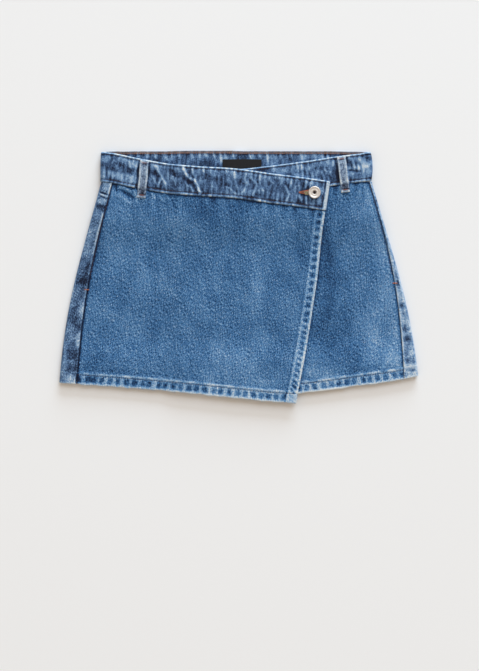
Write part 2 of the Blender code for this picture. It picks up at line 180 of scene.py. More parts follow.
# The middle line of each stretch of the waistband, and the hems' edges
OVERLAP_BAND = ((-0.186, 0.1504), (-0.170, 0.1487), (-0.145, 0.1434), (-0.098, 0.1350), (-0.054, 0.1311),
                (-0.005, 0.1281), (0.045, 0.1212), (0.086, 0.1161), (0.1222, 0.1108))
UNDERLAP_BAND = ((-0.060, 0.1225), (0.020, 0.1294), (0.099, 0.1394), (0.147, 0.1470), (0.179, 0.1503))
BACK_BAND = ((-0.186, 0.1504), (-0.165, 0.1528), (-0.120, 0.1537), (0.120, 0.1537), (0.160, 0.1526),
             (0.179, 0.1503))
OVERLAP_HEM = ((-0.2462, -0.1453), (-0.1065, -0.1561), (0.0020, -0.1670), (0.0400, -0.1710),
               (0.0797, -0.1735))
UNDERLAP_HEM = ((-0.0600, -0.1575), (0.0100, -0.1603), (0.0811, -0.1599), (0.1757, -0.1481),
                (0.2150, -0.1425), (0.2462, -0.1362))
CROTCH_Y = -0.097
INSEAM_HEM_Y = -0.150
INSEAM_SPLAY = 0.012
FOLD_SKEW = 0.8
BODY_TONE = 0.395
THREAD = 0.00028
WEAVE_RELIEF = 0.00022
TWILL_PITCH = 0.00078
TWILL_LEAN = 28.0
WAVE_PERIOD = 0.3142

# From a dark hollow to a worn white edge, as sRGB
Shade = namedtuple("Shade", "tone red green blue")
DENIM_SHADES = [Shade(*row) for row in (
    (0.09, 13, 22, 45), (0.165, 28, 46, 75), (0.3, 45, 82, 126), (0.41, 70, 110, 155), (0.53, 100, 143, 187),
    (0.62, 126, 165, 201), (0.74, 173, 193, 210), (0.87, 213, 219, 221),
)]


def mix(a, b, share):
    """The value at a share of the way from a to b."""
    return a + (b - a) * share


def ease(start, end, value):
    """0 before start, 1 after end, and a smooth S between them. end may be below start."""
    share = np.clip((value - start) / (end - start), 0.0, 1.0)
    return share * share * (3.0 - 2.0 * share)


def hump(distance, width):
    """A soft ridge: exp(-(distance / width)^2)."""
    return np.exp(-(distance / width) ** 2)


def in_turning(distance, depth):
    """1 where the cloth is turned under, from its edge in to a depth, in millimetres."""
    return ease(depth + 0.4, depth - 0.4, distance)


def along(points, x):
    """The height at x of the smooth (Hermite) curve through points. It ends level."""
    px, py = np.array(points).T
    slopes = np.empty_like(px)
    slopes[1:-1] = (py[2:] - py[:-2]) / (px[2:] - px[:-2])
    slopes[0] = (py[1] - py[0]) / (px[1] - px[0])
    slopes[-1] = (py[-1] - py[-2]) / (px[-1] - px[-2])
    x = np.clip(x, px[0], px[-1])
    i = np.clip(np.searchsorted(px, x) - 1, 0, len(px) - 2)
    width = px[i + 1] - px[i]
    s = (x - px[i]) / width
    ends = mix(py[i], py[i + 1], s * s * (3 - 2 * s))
    return ends + width * s * (1 - s) * (slopes[i] * (1 - s) - slopes[i + 1] * s)


def slope_at(points, x):
    """How steep the curve through points is at x, over a millimetre to each side."""
    return (along(points, x + MM) - along(points, x - MM)) / (2 * MM)


def band_edge(band, x):
    """The panels' top edge: half the waistband's height below its line, square to the line."""
    return along(band, x) - 0.5 * BAND_HEIGHT * np.hypot(1.0, slope_at(band, x)) - WAIST_SEAM_GAP


def level(layer, y):
    """The height of a layer at y. It rises to the waistband and to the hem."""
    to_waist = (layer.waist - layer.body) * ease(*WAIST_RISE, y)
    return layer.body + to_waist + (layer.hem - layer.body) * ease(*HEM_RISE, y)


def fold_x(side, share):
    """A straight line with a half sine wave on it: where the back panel folds. The wave is
    fuller towards the hem, by FOLD_SKEW x (share - 0.5)."""
    bulge = side.fold_bulge * np.sin(math.pi * share) * (1.0 + FOLD_SKEW * (share - 0.5))
    return mix(side.fold_waist, side.fold_hem, share) + bulge


def seam_x(side, share):
    """A straight line with a half sine wave on it: where the side seam lies."""
    return mix(side.seam_waist, side.seam_hem, share) + side.seam_bulge * np.sin(math.pi * share)


def front_top(side, x):
    """The top edge of the front panel on a side: the left one reaches a deeper waistband."""
    if side is LEFT:
        return band_edge(OVERLAP_BAND, x) - BAND_FOOT_OUT * MM
    return band_edge(UNDERLAP_BAND, x)


def front_hem(side, x):
    """The hem's edge of the wrap panel on a side."""
    return along(OVERLAP_HEM if side is LEFT else UNDERLAP_HEM, x)


def leg_hem(side, x):
    """The shorts' hem, straight from the side's corner to the inseam."""
    return mix(INSEAM_HEM_Y, side.corner_y, (abs(x) - INSEAM_SPLAY) / (side.fold_hem - INSEAM_SPLAY))


def inseam_x(top, share):
    """The centre seam down to the crotch, and the leg's inseam below it."""
    y = mix(top, INSEAM_HEM_Y, share)
    return 0.5 * SEAM_GAP + INSEAM_SPLAY * np.maximum(0.0, (CROTCH_Y - y) / (CROTCH_Y - INSEAM_HEM_Y))


def places(start, *stretches):
    """Places from start on, in even steps: each stretch is (where it ends, about its step)."""
    parts = [np.array([start])]
    for end, step in stretches:
        count = max(1, round(abs(end - start) / step))
        parts.append(np.linspace(start, end, count + 1)[1:])
        start = end
    return np.concatenate(parts)


def shares_down(*stretches):
    """Rows as shares of the way down, from their places in even steps."""
    down = places(0.0, *stretches)
    return (down / down[-1])[:, None]


def rim(distance, thickness):
    """A rounded edge: the share of the thickness left at a distance from the edge, a quarter circle."""
    inwards = np.clip(1.0 - distance / (0.5 * thickness), 0.0, 1.0)
    return np.maximum(np.sqrt(1.0 - inwards ** 2), 0.12)


def blotch(x, y, size, seed):
    """Soft uneven blotches of about that size: twelve plane waves of chance direction and phase."""
    chance = np.random.default_rng(seed)
    total = np.zeros(np.broadcast(x, y).shape)
    for turn, start, stretch in chance.uniform((0, 0, 0.7), (math.pi, 2 * math.pi, 1.5), (12, 3)):
        total += np.cos((x * math.cos(turn) + y * math.sin(turn)) * math.pi / (size * stretch) + start)
    return total / math.sqrt(6.0)


def hollows(run, depth, first, last, pitch, middle, reach, lean, seed, size=1.0):
    """The hollows that a shrunk seam pulls into a turned edge: ovals about a pitch apart along
    it, each exp(-(a / half its width)^4 - (b / reach)^4), with its own place, width and depth."""
    chance = np.random.default_rng(seed)
    total = np.zeros(run.shape)
    for centre in np.arange(first, last, pitch):
        shift, width, weight, tilt = chance.uniform((-0.14, 0.28, 0.70, -0.20), (0.14, 0.42, 1.0, 0.20))
        a = run - centre - shift * pitch - (lean + tilt) * (depth - middle)
        total += weight * np.exp(-(a / (size * width * pitch)) ** 4 - ((depth - middle) / reach) ** 4)
    return total


def shell(name, upper, lower, weave, tone, material, under_tone=None):
    """A closed wall of cloth between two grids of points, rows by columns, with a rim all round.
    Each point keeps its place on the flat cloth as its UV, and its tone, from dark to worn."""
    rows, columns = upper.shape[:2]
    at = np.arange(rows * columns).reshape(rows, columns)
    quads = np.stack([at[:-1, :-1], at[1:, :-1], at[1:, 1:], at[:-1, 1:]], axis=-1).reshape(-1, 4)
    edge = np.concatenate([at[:, 0], at[-1, 1:], at[-2::-1, -1], at[0, -2:0:-1]])
    after = np.roll(edge, -1)
    walls = np.stack([after, edge, edge + at.size, after + at.size], axis=-1)
    faces = np.concatenate([quads, quads[:, ::-1] + at.size, walls])
    points = np.concatenate([upper.reshape(-1, 3), lower.reshape(-1, 3)])
    a, b, c, d = (points[faces[:, k]] for k in range(4))
    if (np.cross(b - a, c - a) * a).sum() + (np.cross(c - a, d - a) * a).sum() < 0.0:
        faces = faces[:, ::-1]
    mesh = bpy.data.meshes.new(name)
    mesh.from_pydata(points, [], faces.tolist())
    cloth = np.concatenate([weave.reshape(-1, 2), weave.reshape(-1, 2) + 0.41])
    layer = mesh.uv_layers.new(name="cloth")
    layer.data.foreach_set("uv", cloth[faces.ravel()].astype(np.float32).ravel())
    under = tone if under_tone is None else under_tone
    tones = np.concatenate([tone.ravel(), under.ravel()]).astype(np.float32)
    mesh.attributes.new("tone", "FLOAT", "POINT").data.foreach_set("value", tones)
    return piece_of(name, mesh, material)


def stand_for(piece, slot, *nodes):
    """The piece rides the one body and is shown in place of those CAD nodes; slot is not used."""
    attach(piece, "root")
    if nodes:
        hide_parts(*nodes)


def denim_group():
    """The face of washed denim. Grain, slub and cloud noise on the flat cloth's own places is
    added to the tone, and the sum picks the shade. The twill's ribs and the grain are its relief."""
    group = bpy.data.node_groups.new("washed_denim", "ShaderNodeTree")
    socket = group.interface.new_socket
    socket("Cloth", in_out="INPUT", socket_type="NodeSocketVector")
    for name in ("Tone", "Grain", "Grey"):
        socket(name, in_out="INPUT", socket_type="NodeSocketFloat")
    socket("Colour", in_out="OUTPUT", socket_type="NodeSocketColor")
    socket("Relief", in_out="OUTPUT", socket_type="NodeSocketFloat")
    socket("Roughness", in_out="OUTPUT", socket_type="NodeSocketFloat")
    nodes, link = group.nodes, group.links.new
    given, out = nodes.new("NodeGroupInput"), nodes.new("NodeGroupOutput")

    def placed(wide, tall, lean):
        """The cloth's places, counted in cells of that size that lean by an angle."""
        cells = node_of(nodes, "Mapping", vector_type="TEXTURE", inputs={
            "Rotation": (0.0, 0.0, math.radians(lean)), "Scale": (wide, tall, 1.0)})
        link(given.outputs["Cloth"], cells.inputs["Vector"])
        return cells.outputs["Vector"]

    def noise(wide, tall, lean, detail):
        """Noise whose spots are wide by tall, in metres, and lean by an angle."""
        texture = node_of(nodes, "TexNoise", {"Scale": 1.0, "Detail": detail, "Roughness": 0.6},
                          noise_dimensions="2D")
        link(placed(wide, tall, lean), texture.inputs["Vector"])
        return texture.outputs["Fac"]

    def sum_of(value, factor, rest):
        """value x factor + rest."""
        node = node_of(nodes, "Math", operation="MULTIPLY_ADD")
        for socket_in, given_value in zip(node.inputs, (value, factor, rest)):
            if isinstance(given_value, float):
                socket_in.default_value = given_value
            else:
                link(given_value, socket_in)
        return node.outputs[0]

    grain = noise(0.0008, 0.0029, -30.0, 2.0)
    slub = noise(0.0016, 0.026, 3.0, 1.0)
    cloud = noise(0.022, 0.036, 10.0, 2.0)
    twill = node_of(nodes, "TexWave", {
        "Scale": WAVE_PERIOD / TWILL_PITCH, "Distortion": 2.4, "Detail": 1.0, "Detail Scale": 1.6})
    link(placed(1.0, 1.0, TWILL_LEAN), twill.inputs["Vector"])
    total = sum_of(grain, 1.36, -0.68)
    for part, weight in ((slub, 0.16), (cloud, 0.16), (twill.outputs["Fac"], 0.05)):
        total = sum_of(part, weight, total)
    total = sum_of(total, 1.0, -0.185)
    shifted = sum_of(total, given.outputs["Grain"], given.outputs["Tone"])
    ramp = node_of(nodes, "ValToRGB")
    while len(ramp.color_ramp.elements) < len(DENIM_SHADES):
        ramp.color_ramp.elements.new(0.5)
    for element, row in zip(ramp.color_ramp.elements, DENIM_SHADES):
        element.position = row.tone
        element.color = (*(linear(v) for v in (row.red, row.green, row.blue)), 1.0)
    link(shifted, ramp.inputs["Fac"])
    fade = node_of(nodes, "HueSaturation")
    link(ramp.outputs["Color"], fade.inputs["Color"])
    link(sum_of(given.outputs["Grey"], -1.0, 1.0), fade.inputs["Saturation"])
    link(fade.outputs["Color"], out.inputs["Colour"])
    link(sum_of(twill.outputs["Fac"], 0.45, sum_of(grain, 1.0, 0.0)), out.inputs["Relief"])
    link(sum_of(grain, -0.2, 0.95), out.inputs["Roughness"])
    return group


def linear(value):
    """An sRGB value from 0 to 255 as linear light."""
    value /= 255.0
    return value / 12.92 if value <= 0.04045 else ((value + 0.055) / 1.055) ** 2.4


def emboss(nodes, link, shader, height, depth, strength=1.0):
    """Relief of that depth on the shader, from a value that varies over the surface."""
    bump = node_of(nodes, "Bump", {"Strength": strength, "Distance": depth})
    link(height, bump.inputs["Height"])
    link(bump.outputs["Normal"], shader.inputs["Normal"])


def denim(name, grain, grey, depth):
    """Denim on a piece's own UV and tone. grain is the noise's strength, grey how faded it is,
    and depth how deep the weave's relief is."""
    material, nodes, link, shader = material_of(name, 0.85, 0.16)
    shader.inputs["Sheen Weight"].default_value = 0.04
    shader.inputs["Sheen Roughness"].default_value = 0.5
    face = node_of(nodes, "Group", {"Grain": grain, "Grey": grey}, node_tree=WASHED_DENIM)
    link(node_of(nodes, "UVMap", uv_map="cloth").outputs["UV"], face.inputs["Cloth"])
    link(node_of(nodes, "Attribute", attribute_name="tone").outputs["Fac"], face.inputs["Tone"])
    link(face.outputs["Colour"], shader.inputs["Base Color"])
    link(face.outputs["Roughness"], shader.inputs["Roughness"])
    emboss(nodes, link, shader, face.outputs["Relief"], depth, 0.7)
    return material


def mottle(nodes, link, shader, where, scale, dark, pale, ends=(0.0, 1.0), detail=2.0):
    """Noise over those places, which picks the shader's colour between dark and pale."""
    noise = node_of(nodes, "TexNoise", {"Scale": scale, "Detail": detail})
    ramp = node_of(nodes, "ValToRGB")
    for element, end, colour in zip(ramp.color_ramp.elements, ends, (dark, pale)):
        element.position = end
        element.color = (*colour, 1.0)
    link(where, noise.inputs["Vector"])
    link(noise.outputs["Fac"], ramp.inputs["Fac"])
    link(ramp.outputs["Color"], shader.inputs["Base Color"])
    return noise.outputs["Fac"]


def ribs(nodes, link, where, scale, direction):
    """Even ribs over those places, across a direction."""
    wave = node_of(nodes, "TexWave", {"Scale": scale}, bands_direction=direction)
    link(where, wave.inputs["Vector"])
    return wave.outputs["Fac"]


def thread(name, colour):
    """Twisted sewing thread: a colour that wanders a little, with the ply's ribs as relief."""
    material, nodes, link, shader = material_of(name, 0.7, 0.25)
    where = node_of(nodes, "TexCoord").outputs["Object"]
    dark, pale = ([share * linear(v) for v in colour] for share in (0.55, 1.25))
    mottle(nodes, link, shader, where, 260.0, dark, pale, (0.30, 0.72))
    emboss(nodes, link, shader, ribs(nodes, link, where, 900.0, "DIAGONAL"), 0.0001)
    return material


def row_of(route, pitch=3.4 * MM, length=2.7 * MM):
    """Stitches along a line of points: where each starts and ends, a pitch apart."""
    route = np.asarray(route)
    run = np.concatenate([[0.0], np.cumsum(np.linalg.norm(np.diff(route, axis=0), axis=1))])
    starts = np.arange(0.3 * pitch, run[-1] - length, pitch)
    ends = (starts, starts + length)
    return np.stack([np.stack([np.interp(s, run, route[:, k]) for k in range(3)], axis=-1) for s in ends])


def stitching(name, rows, material, slot, up=1.0, radius=THREAD):
    """Stitches as one mesh. Each is a closed spindle of five sides: its radius follows
    sqrt(1 - t^4) along its run t from -1 to 1, and its ends dip towards the cloth."""
    starts, ends = np.concatenate(rows, axis=1)
    run = ends - starts
    length = np.linalg.norm(run, axis=1, keepdims=True)
    forward = run / length
    upward = np.array([0.0, 0.0, up]) - forward * forward[:, 2:] * up
    upward /= np.linalg.norm(upward, axis=1, keepdims=True)
    sideways = np.cross(upward, forward)
    t = np.array([-0.92, -0.5, 0.5, 0.92])
    angles = np.linspace(0.0, 2 * math.pi, 5, endpoint=False)
    girth = radius * np.sqrt(1.0 - t ** 4)
    dip = -0.9 * radius * t ** 4
    rings = (
        (0.5 * (starts + ends))[:, None, None, :]
        + (0.5 * length * forward)[:, None, None, :] * t[None, :, None, None]
        + sideways[:, None, None, :] * (girth[:, None] * np.cos(angles))[None, :, :, None]
        + upward[:, None, None, :] * (dip[:, None] + girth[:, None] * np.sin(angles))[None, :, :, None]
    ).reshape(len(starts), -1, 3)
    tips = np.stack([starts - 0.9 * radius * upward, ends - 0.9 * radius * upward], axis=1)
    points = np.concatenate([rings, tips], axis=1)
    around = np.arange(5)
    beside = (around + 1) % 5
    ring = np.stack([around, beside, 5 + beside, 5 + around], axis=-1)
    walls = [ring + 5 * place for place in range(3)]
    first = np.stack([np.full(5, 20), beside, around], -1)
    last = np.stack([np.full(5, 21), 15 + around, 15 + beside], -1)
    offsets = (np.arange(len(starts)) * 22)[:, None, None]
    quads = (np.concatenate(walls)[None] + offsets).reshape(-1, 4)
    caps = (np.concatenate([first, last])[None] + offsets).reshape(-1, 3)
    mesh = bpy.data.meshes.new(name)
    mesh.from_pydata(points.reshape(-1, 3), [], quads.tolist() + caps.tolist())
    piece = piece_of(name, mesh, material)
    stand_for(piece, slot)
    return piece


# How pale the hems are worn, at places along them
HEM_WORN = ((-190, 0.17), (-95, 0.19), (-40, 0.24), (10, 0.265), (60, 0.285), (120, 0.28), (170, 0.21),
            (215, 0.20))
HEM_REACH = 262.0


def hem_look(run, from_hem, seed, lean):
    """The tone and relief of a turned and washed hem: hollows between its edge and its row of
    stitches, a groove at the row darkened by painted shade, a worn ridge above it, faint
    hollows above that and a worn edge. Each is its strength times a hump or an oval of the
    distance from the hem's edge."""
    above_row = from_hem - HEM_DEPTH - 2.4
    pulled = hollows(run, from_hem, -HEM_REACH, HEM_REACH, 10.8, 7.4, 4.7, lean, seed)
    in_hem = ease(HEM_DEPTH + 1.2, HEM_DEPTH - 0.6, from_hem)
    uneven = 1.0 + 0.30 * blotch(run, 0.0, 9.0, seed + 1)
    worn = np.interp(run, *np.array(HEM_WORN).T)
    edge_worn = 0.18 + 0.20 * hump(run - 120.0, 35.0)
    tone = in_hem * (1.22 * worn - 0.46 * pulled) + edge_worn * hump(from_hem, 2.2)
    # The dark hump at the row of stitches is painted shade in its groove.
    tone = tone - 0.17 * hump(from_hem - HEM_DEPTH, 1.0) + 0.235 * uneven * hump(above_row, 1.7)
    drawn = hollows(run, from_hem, -HEM_REACH, HEM_REACH, 12.5, 21.0, 5.0, 0.9, seed + 2)
    tone = tone - 0.055 * drawn
    relief = -0.30 * pulled * in_hem - 0.22 * hump(from_hem - HEM_DEPTH, 1.2)
    relief = relief + 0.25 * hump(above_row, 1.8) - 0.10 * drawn
    return tone, relief * MM


# The pale ridge of the strip along its seam: its tone at heights from the hem up
SEAM_RIDGE = {
    LEFT: ((-0.150, 0.07), (-0.0214, 0.07), (-0.0134, 0.06), (0.040, 0.08), (0.060, 0.36), (0.086, 0.34),
           (0.093, -0.05), (0.109, -0.05), (0.113, 0.42), (0.130, 0.42)),
    RIGHT: ((-0.150, 0.13), (-0.045, 0.13), (-0.030, 0.07), (0.045, 0.04), (0.055, -0.06), (0.130, -0.06)),
}
# The rows of stitches underneath: above the hem's edge, and beside the centre seam
BACK_HEM_ROW = 0.0140
ROW_END_GAP = 0.004
SEAM_ROWS = {LEFT: (0.0022, 0.0082), RIGHT: (0.0022,)}
SEAM_ROW_ENDS = (0.128, -0.092)
STITCHES_OUT = 0.00005
STRIP_TONE = {LEFT: 0.360, RIGHT: 0.566}
STRIP_HEM_TONE = {LEFT: 0.11, RIGHT: 0.16}
STRIP_SLOPE = {LEFT: 0.32, RIGHT: 0.0}
STRIP_SEED = {LEFT: 11, RIGHT: 12}
# Blotches on the strips: how far in from the side seam, height, size and change of tone
Blot = namedtuple("Blot", "inwards y wide tall amount")
STRIP_PATCHES = {side: [Blot(*row) for row in rows] for side, rows in (
    (LEFT, (
        (5, 0, 4.5, 32, -0.08), (5, 38, 5, 8, -0.04), (9, 92, 9, 5, -0.06), (7.5, 122, 4.5, 6, 0.16),
        (8, 114.3, 8, 1.3, -0.46), (9, 111.9, 8, 0.9, 0.42), (12.5, 121, 1.2, 6, -0.2),
        (8, 109.2, 8, 0.9, -0.32), (6, 105, 8, 3, 0.07), (9, 101, 8, 1.0, 0.22), (3, 107, 2, 4, 0.1),
        # (6, 96) is a painted shadow under the folded ridge above it.
        (6, 96, 9, 4.2, -0.26), (11, 84, 6, 6, 0.04), (13, 56, 5, 9, 0.1), (5, 50, 4, 10, -0.08),
        (11, 36, 5, 8, 0.06), (5, 14, 3.4, 9, -0.13), (9, -6, 10, 7, -0.17), (15, -25, 5, 7, 0.04),
        (4, -25, 4, 5, -0.07), (3, -42, 3.2, 11, 0.24), (5, -66, 7, 8, -0.17), (3, -86, 3.2, 9, 0.28),
        (12, -86, 6, 8, 0.06), (5, -108, 7, 10, -0.16), (14, -107, 5, 8, -0.06), (7, -125, 10, 5, -0.16),
        (6.5, -122, 1.8, 8, 0.12), (16, -122, 2.5, 8, 0.08), (10, -131.5, 9, 1.4, -0.14),
        (9, -139.5, 5, 5.5, 0.26), (2.4, -140, 1.0, 5, 0.24), (0.2, -141, 1.0, 7, -0.45),
    )),
    (RIGHT, (
        (5, 8, 7, 34, -0.06), (3, 85, 8, 32, -0.12), (4.5, 3, 3, 5, -0.16), (5, -8, 4, 4.5, -0.3),
        (6, -24, 6, 8, 0.05), (4.8, -39, 3.6, 5.5, -0.36), (4.5, -50, 2.4, 2.6, -0.2), (7, -60, 7, 5, 0.04),
        (5.8, -71, 3.8, 4.5, -0.27), (7.6, -85, 5.5, 4.4, -0.33), (8, -95, 4, 3, -0.05),
        (4.5, -105, 3, 4, -0.17), (6, -115, 4, 5, -0.26), (15, -115, 4, 5, -0.24), (14, -100, 5, 8, 0.08),
        (7, -128, 6, 1.6, -0.2), (14, -127, 4, 1.8, -0.22), (15, -137, 1.4, 5, -0.16),
        (8, -121.5, 6, 2.4, 0.06),
    )),
)}


def strip_look(side, y, from_seam, from_hem):
    """The tone and relief of the strip in front of the fold: blotches, most where the hidden seam
    allowances lie and one a painted shadow under a folded ridge on the left strip, a pale
    rolled edge along the seam, and hollows in the hem, with painted shade in the groove at its
    row of stitches."""
    inwards, up, above_hem = from_seam / MM, y / MM, from_hem / MM
    seed = STRIP_SEED[side]
    tone = STRIP_TONE[side] + 0.050 * blotch(inwards, -up, 17.0, seed)
    tone = tone + 0.035 * blotch(inwards, -up, 6.0, seed + 4)
    bumps = 0.0
    for row in STRIP_PATCHES[side]:
        aside = inwards - row.inwards
        above = up - row.y - STRIP_SLOPE[side] * (inwards - 7.0)
        spot = 1.25 * row.amount * np.exp(-(aside / row.wide) ** 2 - (above / row.tall) ** 2)
        tone = tone + spot
        bumps = bumps + spot
    tone = tone + np.interp(y, *np.array(SEAM_RIDGE[side]).T) * hump(inwards - 1.0, 1.3)
    relief = 0.35 * MM * hump(inwards - 1.4, 1.8) + 0.64 * MM * np.clip(bumps, -0.37, 0.37)
    pulled = hollows(inwards, above_hem, 1.0, 300.0, 10.5, 7.0, 5.2, 0.1, seed + 2)
    in_hem = ease(HEM_DEPTH + 1.0, HEM_DEPTH - 0.5, above_hem)
    tone = tone + in_hem * (STRIP_HEM_TONE[side] - 0.15 * pulled) + 0.16 * hump(above_hem, 1.6)
    # The dark hump at the hem's row of stitches is painted shade in its groove.
    tone = tone - 0.10 * hump(above_hem - 13.2, 1.0) + 0.12 * hump(above_hem - 15.8, 1.3)
    return tone, relief - in_hem * 0.25 * MM * pulled


def back_panel(name, side, material):
    """A back panel by rows down and columns across: flat from the centre seam to the fold, a
    half circle round the fold, and a strip back to the side seam. Each column is (distance from
    the middle, share of the way over, angle on the fold); the cloth is offset square to it."""
    top = band_edge(BACK_BAND, 0.0)
    shares = shares_down((1.2, 0.3), (6.0, 1.2), (42.0, 0.9), (226.0, 2.2), (248.8, 0.8), (250.0, 0.2))
    row_y = mix(top, side.corner_y, shares)
    low = level(BACK, row_y)
    radius = 0.5 * (level(UNDER, row_y) - low)
    turn_x = fold_x(side, shares) - radius
    seam = np.minimum(seam_x(side, shares), turn_x - SEAM_GAP)
    flat = places(0.0, (0.006, 0.0015), (0.97, 0.0125), (1.0, 0.01))
    over = np.linspace(0.0, 1.0, 11)[1:]
    strip = places(0.0, (0.86, 0.055), (0.97, 0.03), (1.0, 0.01))[1:]
    distance = np.concatenate([
        mix(inseam_x(top, shares), turn_x, flat), turn_x + 0.0 * over, mix(turn_x, seam, strip)], axis=1)
    turned = np.concatenate([0.0 * flat, over, 1.0 + 0.0 * strip])
    angle = mix(-0.5 * math.pi, 0.5 * math.pi, turned)
    on_strip = turned == 1.0
    run = distance + turned * math.pi * radius + 2.0 * (turn_x - distance) * on_strip
    x_mid = side.sign * (distance + radius * np.cos(angle))
    back_y = mix(band_edge(BACK_BAND, x_mid), leg_hem(side, x_mid), shares)
    front_y = mix(front_top(side, x_mid), front_hem(side, x_mid), shares)
    y = mix(back_y, front_y, turned)
    hem_y = mix(leg_hem(side, x_mid), front_hem(side, x_mid), turned)
    from_hem = y - hem_y
    from_seam = np.where(on_strip, distance - seam, 0.05)
    thickness = mix(DENIM, FOLDED, in_turning(from_hem / MM, HEM_DEPTH))
    tone, relief = strip_look(side, y, from_seam, from_hem)
    hem_tone, _ = hem_look(x_mid / MM, from_hem / MM, 34, 0.1)
    behind_tone = BODY_TONE - 0.02 + 0.02 * blotch(x_mid / MM, y / MM, 26.0, 35) + hem_tone
    behind_tone = behind_tone + 0.10 * hump((distance - inseam_x(top, shares)) / MM - 1.5, 1.2)
    tone = mix(behind_tone, tone, ease(0.35, 0.75, turned)) + 0.06 * hump(turned - 0.5, 0.35)
    relief = relief * on_strip
    from_edge = np.minimum(from_hem, np.where(on_strip, from_seam, distance - inseam_x(top, shares)))
    round_edge = rim(np.maximum(from_edge, 0.0), thickness)
    middle_reach, half = radius - 0.5 * thickness, 0.5 * thickness * round_edge
    grids = []
    for reach in (middle_reach + half + relief, middle_reach - half):
        x = side.sign * (distance + reach * np.cos(angle))
        grids.append(np.stack([x, y, low + radius + reach * np.sin(angle)], axis=-1))
    weave = np.stack([side.sign * run, y], axis=-1)
    return shell(name, *grids, weave, tone, material)


WASHED_DENIM = denim_group()
BACK_DENIM = denim("denim_back", 1.0, 0.11, WEAVE_RELIEF)
RUST_THREAD = thread("rust_thread", (88, 66, 72))
for side, name in SIDES:
    back = back_panel(f"back_{name}", side, BACK_DENIM)
    stand_for(back, "denim", f"back_{name}")
    reach = np.linspace(side.fold_hem - ROW_END_GAP, INSEAM_SPLAY + ROW_END_GAP, 60)
    hem_y = leg_hem(side, reach) + BACK_HEM_ROW
    rows = [row_of(np.stack([side.sign * reach, hem_y, 0.0 * reach - STITCHES_OUT], axis=-1))]
    down = np.linspace(*SEAM_ROW_ENDS, 50)
    for gap in SEAM_ROWS[side]:
        seam_z = level(BACK, down) - STITCHES_OUT
        rows.append(row_of(np.stack([0.0 * down + side.sign * gap, down, seam_z], axis=-1)))
    sewn = stitching(f"back_stitches_{name}", rows, RUST_THREAD, "denim", up=-1.0)

# ---------------------------------------------------------------------------------------
# The shorts' fronts: the same denim, hidden under the wrap panels. They end at the inseam
# and the side seam, and have a turned hem like the rest.
SHORTS = Layer(0.0053, 0.0025, 0.0044)
SHORTS_INSET = 0.0024


def slab(name, x, y, middle, half, tone, material):
    """Cloth between two sides that lie half a thickness above and below its middle."""
    upper, lower = (np.stack([x, y, middle + way * half], axis=-1) for way in (1.0, -1.0))
    return shell(name, upper, lower, np.stack([x, y], axis=-1), tone, material)


def shorts_front(name, side, material):
    """A front panel by rows down and columns across, from the inseam to the side seam."""
    top = front_top(side, 0.0)
    shares = shares_down((6.0, 2.0), (226.0, 5.0), (248.8, 1.4), (250.0, 0.3))
    across = places(0.0, (0.01, 0.0033), (0.99, 0.022), (1.0, 0.0033))
    x = side.sign * mix(inseam_x(top, shares), seam_x(side, shares) - SHORTS_INSET, across)
    y = mix(front_top(side, x), leg_hem(side, x), shares)
    from_hem = (y - leg_hem(side, x)) / MM
    thickness = mix(DENIM, FOLDED, in_turning(from_hem, HEM_DEPTH))
    hem_tone, _ = hem_look(x / MM, from_hem, 31, 0.1)
    tone = BODY_TONE - 0.03 + 0.03 * blotch(x / MM, y / MM, 30.0, 32) + hem_tone
    half = 0.5 * thickness * rim(from_hem * MM, thickness)
    return slab(name, x, y, level(SHORTS, y) - 0.5 * thickness, half, tone, material)


PANEL_DENIM = denim("denim", 1.0, -0.06, WEAVE_RELIEF)
for side, name in SIDES:
    front = shorts_front(f"shorts_front_{name}", side, PANEL_DENIM)
    stand_for(front, "denim", f"shorts_front_{name}")

# ---------------------------------------------------------------------------------------
# The pocket bags: plain off-white pocketing, flat between the shorts and the wrap panels.
# Each hangs inside its side seam from the waist seam, with a rounded end.
POCKET = Layer(0.0067, 0.0039, 0.0039)
POCKET_INSET = 0.0034
YARN_PITCH = 0.0006
FRONT_LENGTH = 0.262
# How far in the bag reaches, at drops below the waist seam
POCKET_BAG = ((0.004, 0.058), (0.030, 0.064), (0.065, 0.100), (0.120, 0.116), (0.155, 0.106),
              (0.175, 0.084), (0.186, 0.050))


def pocketing():
    """Plain-woven cotton: two crossing waves of yarn as relief, and a little unevenness."""
    material, nodes, link, shader = material_of("pocketing", 0.9, 0.15)
    cloth = node_of(nodes, "UVMap", uv_map="cloth").outputs["UV"]
    crossed = node_of(nodes, "Math", operation="ADD")
    for yarn, direction in zip(crossed.inputs, "XY"):
        link(ribs(nodes, link, cloth, WAVE_PERIOD / YARN_PITCH, direction), yarn)
    mottle(nodes, link, shader, cloth, 500.0, (0.55, 0.53, 0.48), (0.72, 0.70, 0.65))
    emboss(nodes, link, shader, crossed.outputs[0], 0.0001)
    return material


def pocket_bag(name, side, material):
    """A flat bag by drops below the waist seam and its reach in from the side seam."""
    drop = places(POCKET_BAG[0][0], (POCKET_BAG[-1][0], 0.004))[:, None]
    outside = seam_x(side, drop / FRONT_LENGTH) - POCKET_INSET
    x = side.sign * mix(outside, outside - along(POCKET_BAG, drop), np.linspace(0.0, 1.0, 22))
    y = front_top(side, x) - drop
    return slab(name, x, y, level(POCKET, y) - 0.5 * DENIM, 0.5 * DENIM, 0.0 * x, material)


POCKETING = pocketing()
for side, name in SIDES:
    bag = pocket_bag(f"pocket_bag_{name}", side, POCKETING)
    stand_for(bag, "pocketing", f"pocket_bag_{name}")

# ---------------------------------------------------------------------------------------
# The underlap: the skirt's right front, of the same denim. It runs on under the overlap to a
# plain edge. A long worn patch lies beside the side seam; beside the flap it is darker, with a
# painted shadow along the flap's edge.
UNDERLAP_EDGE_X = -0.060
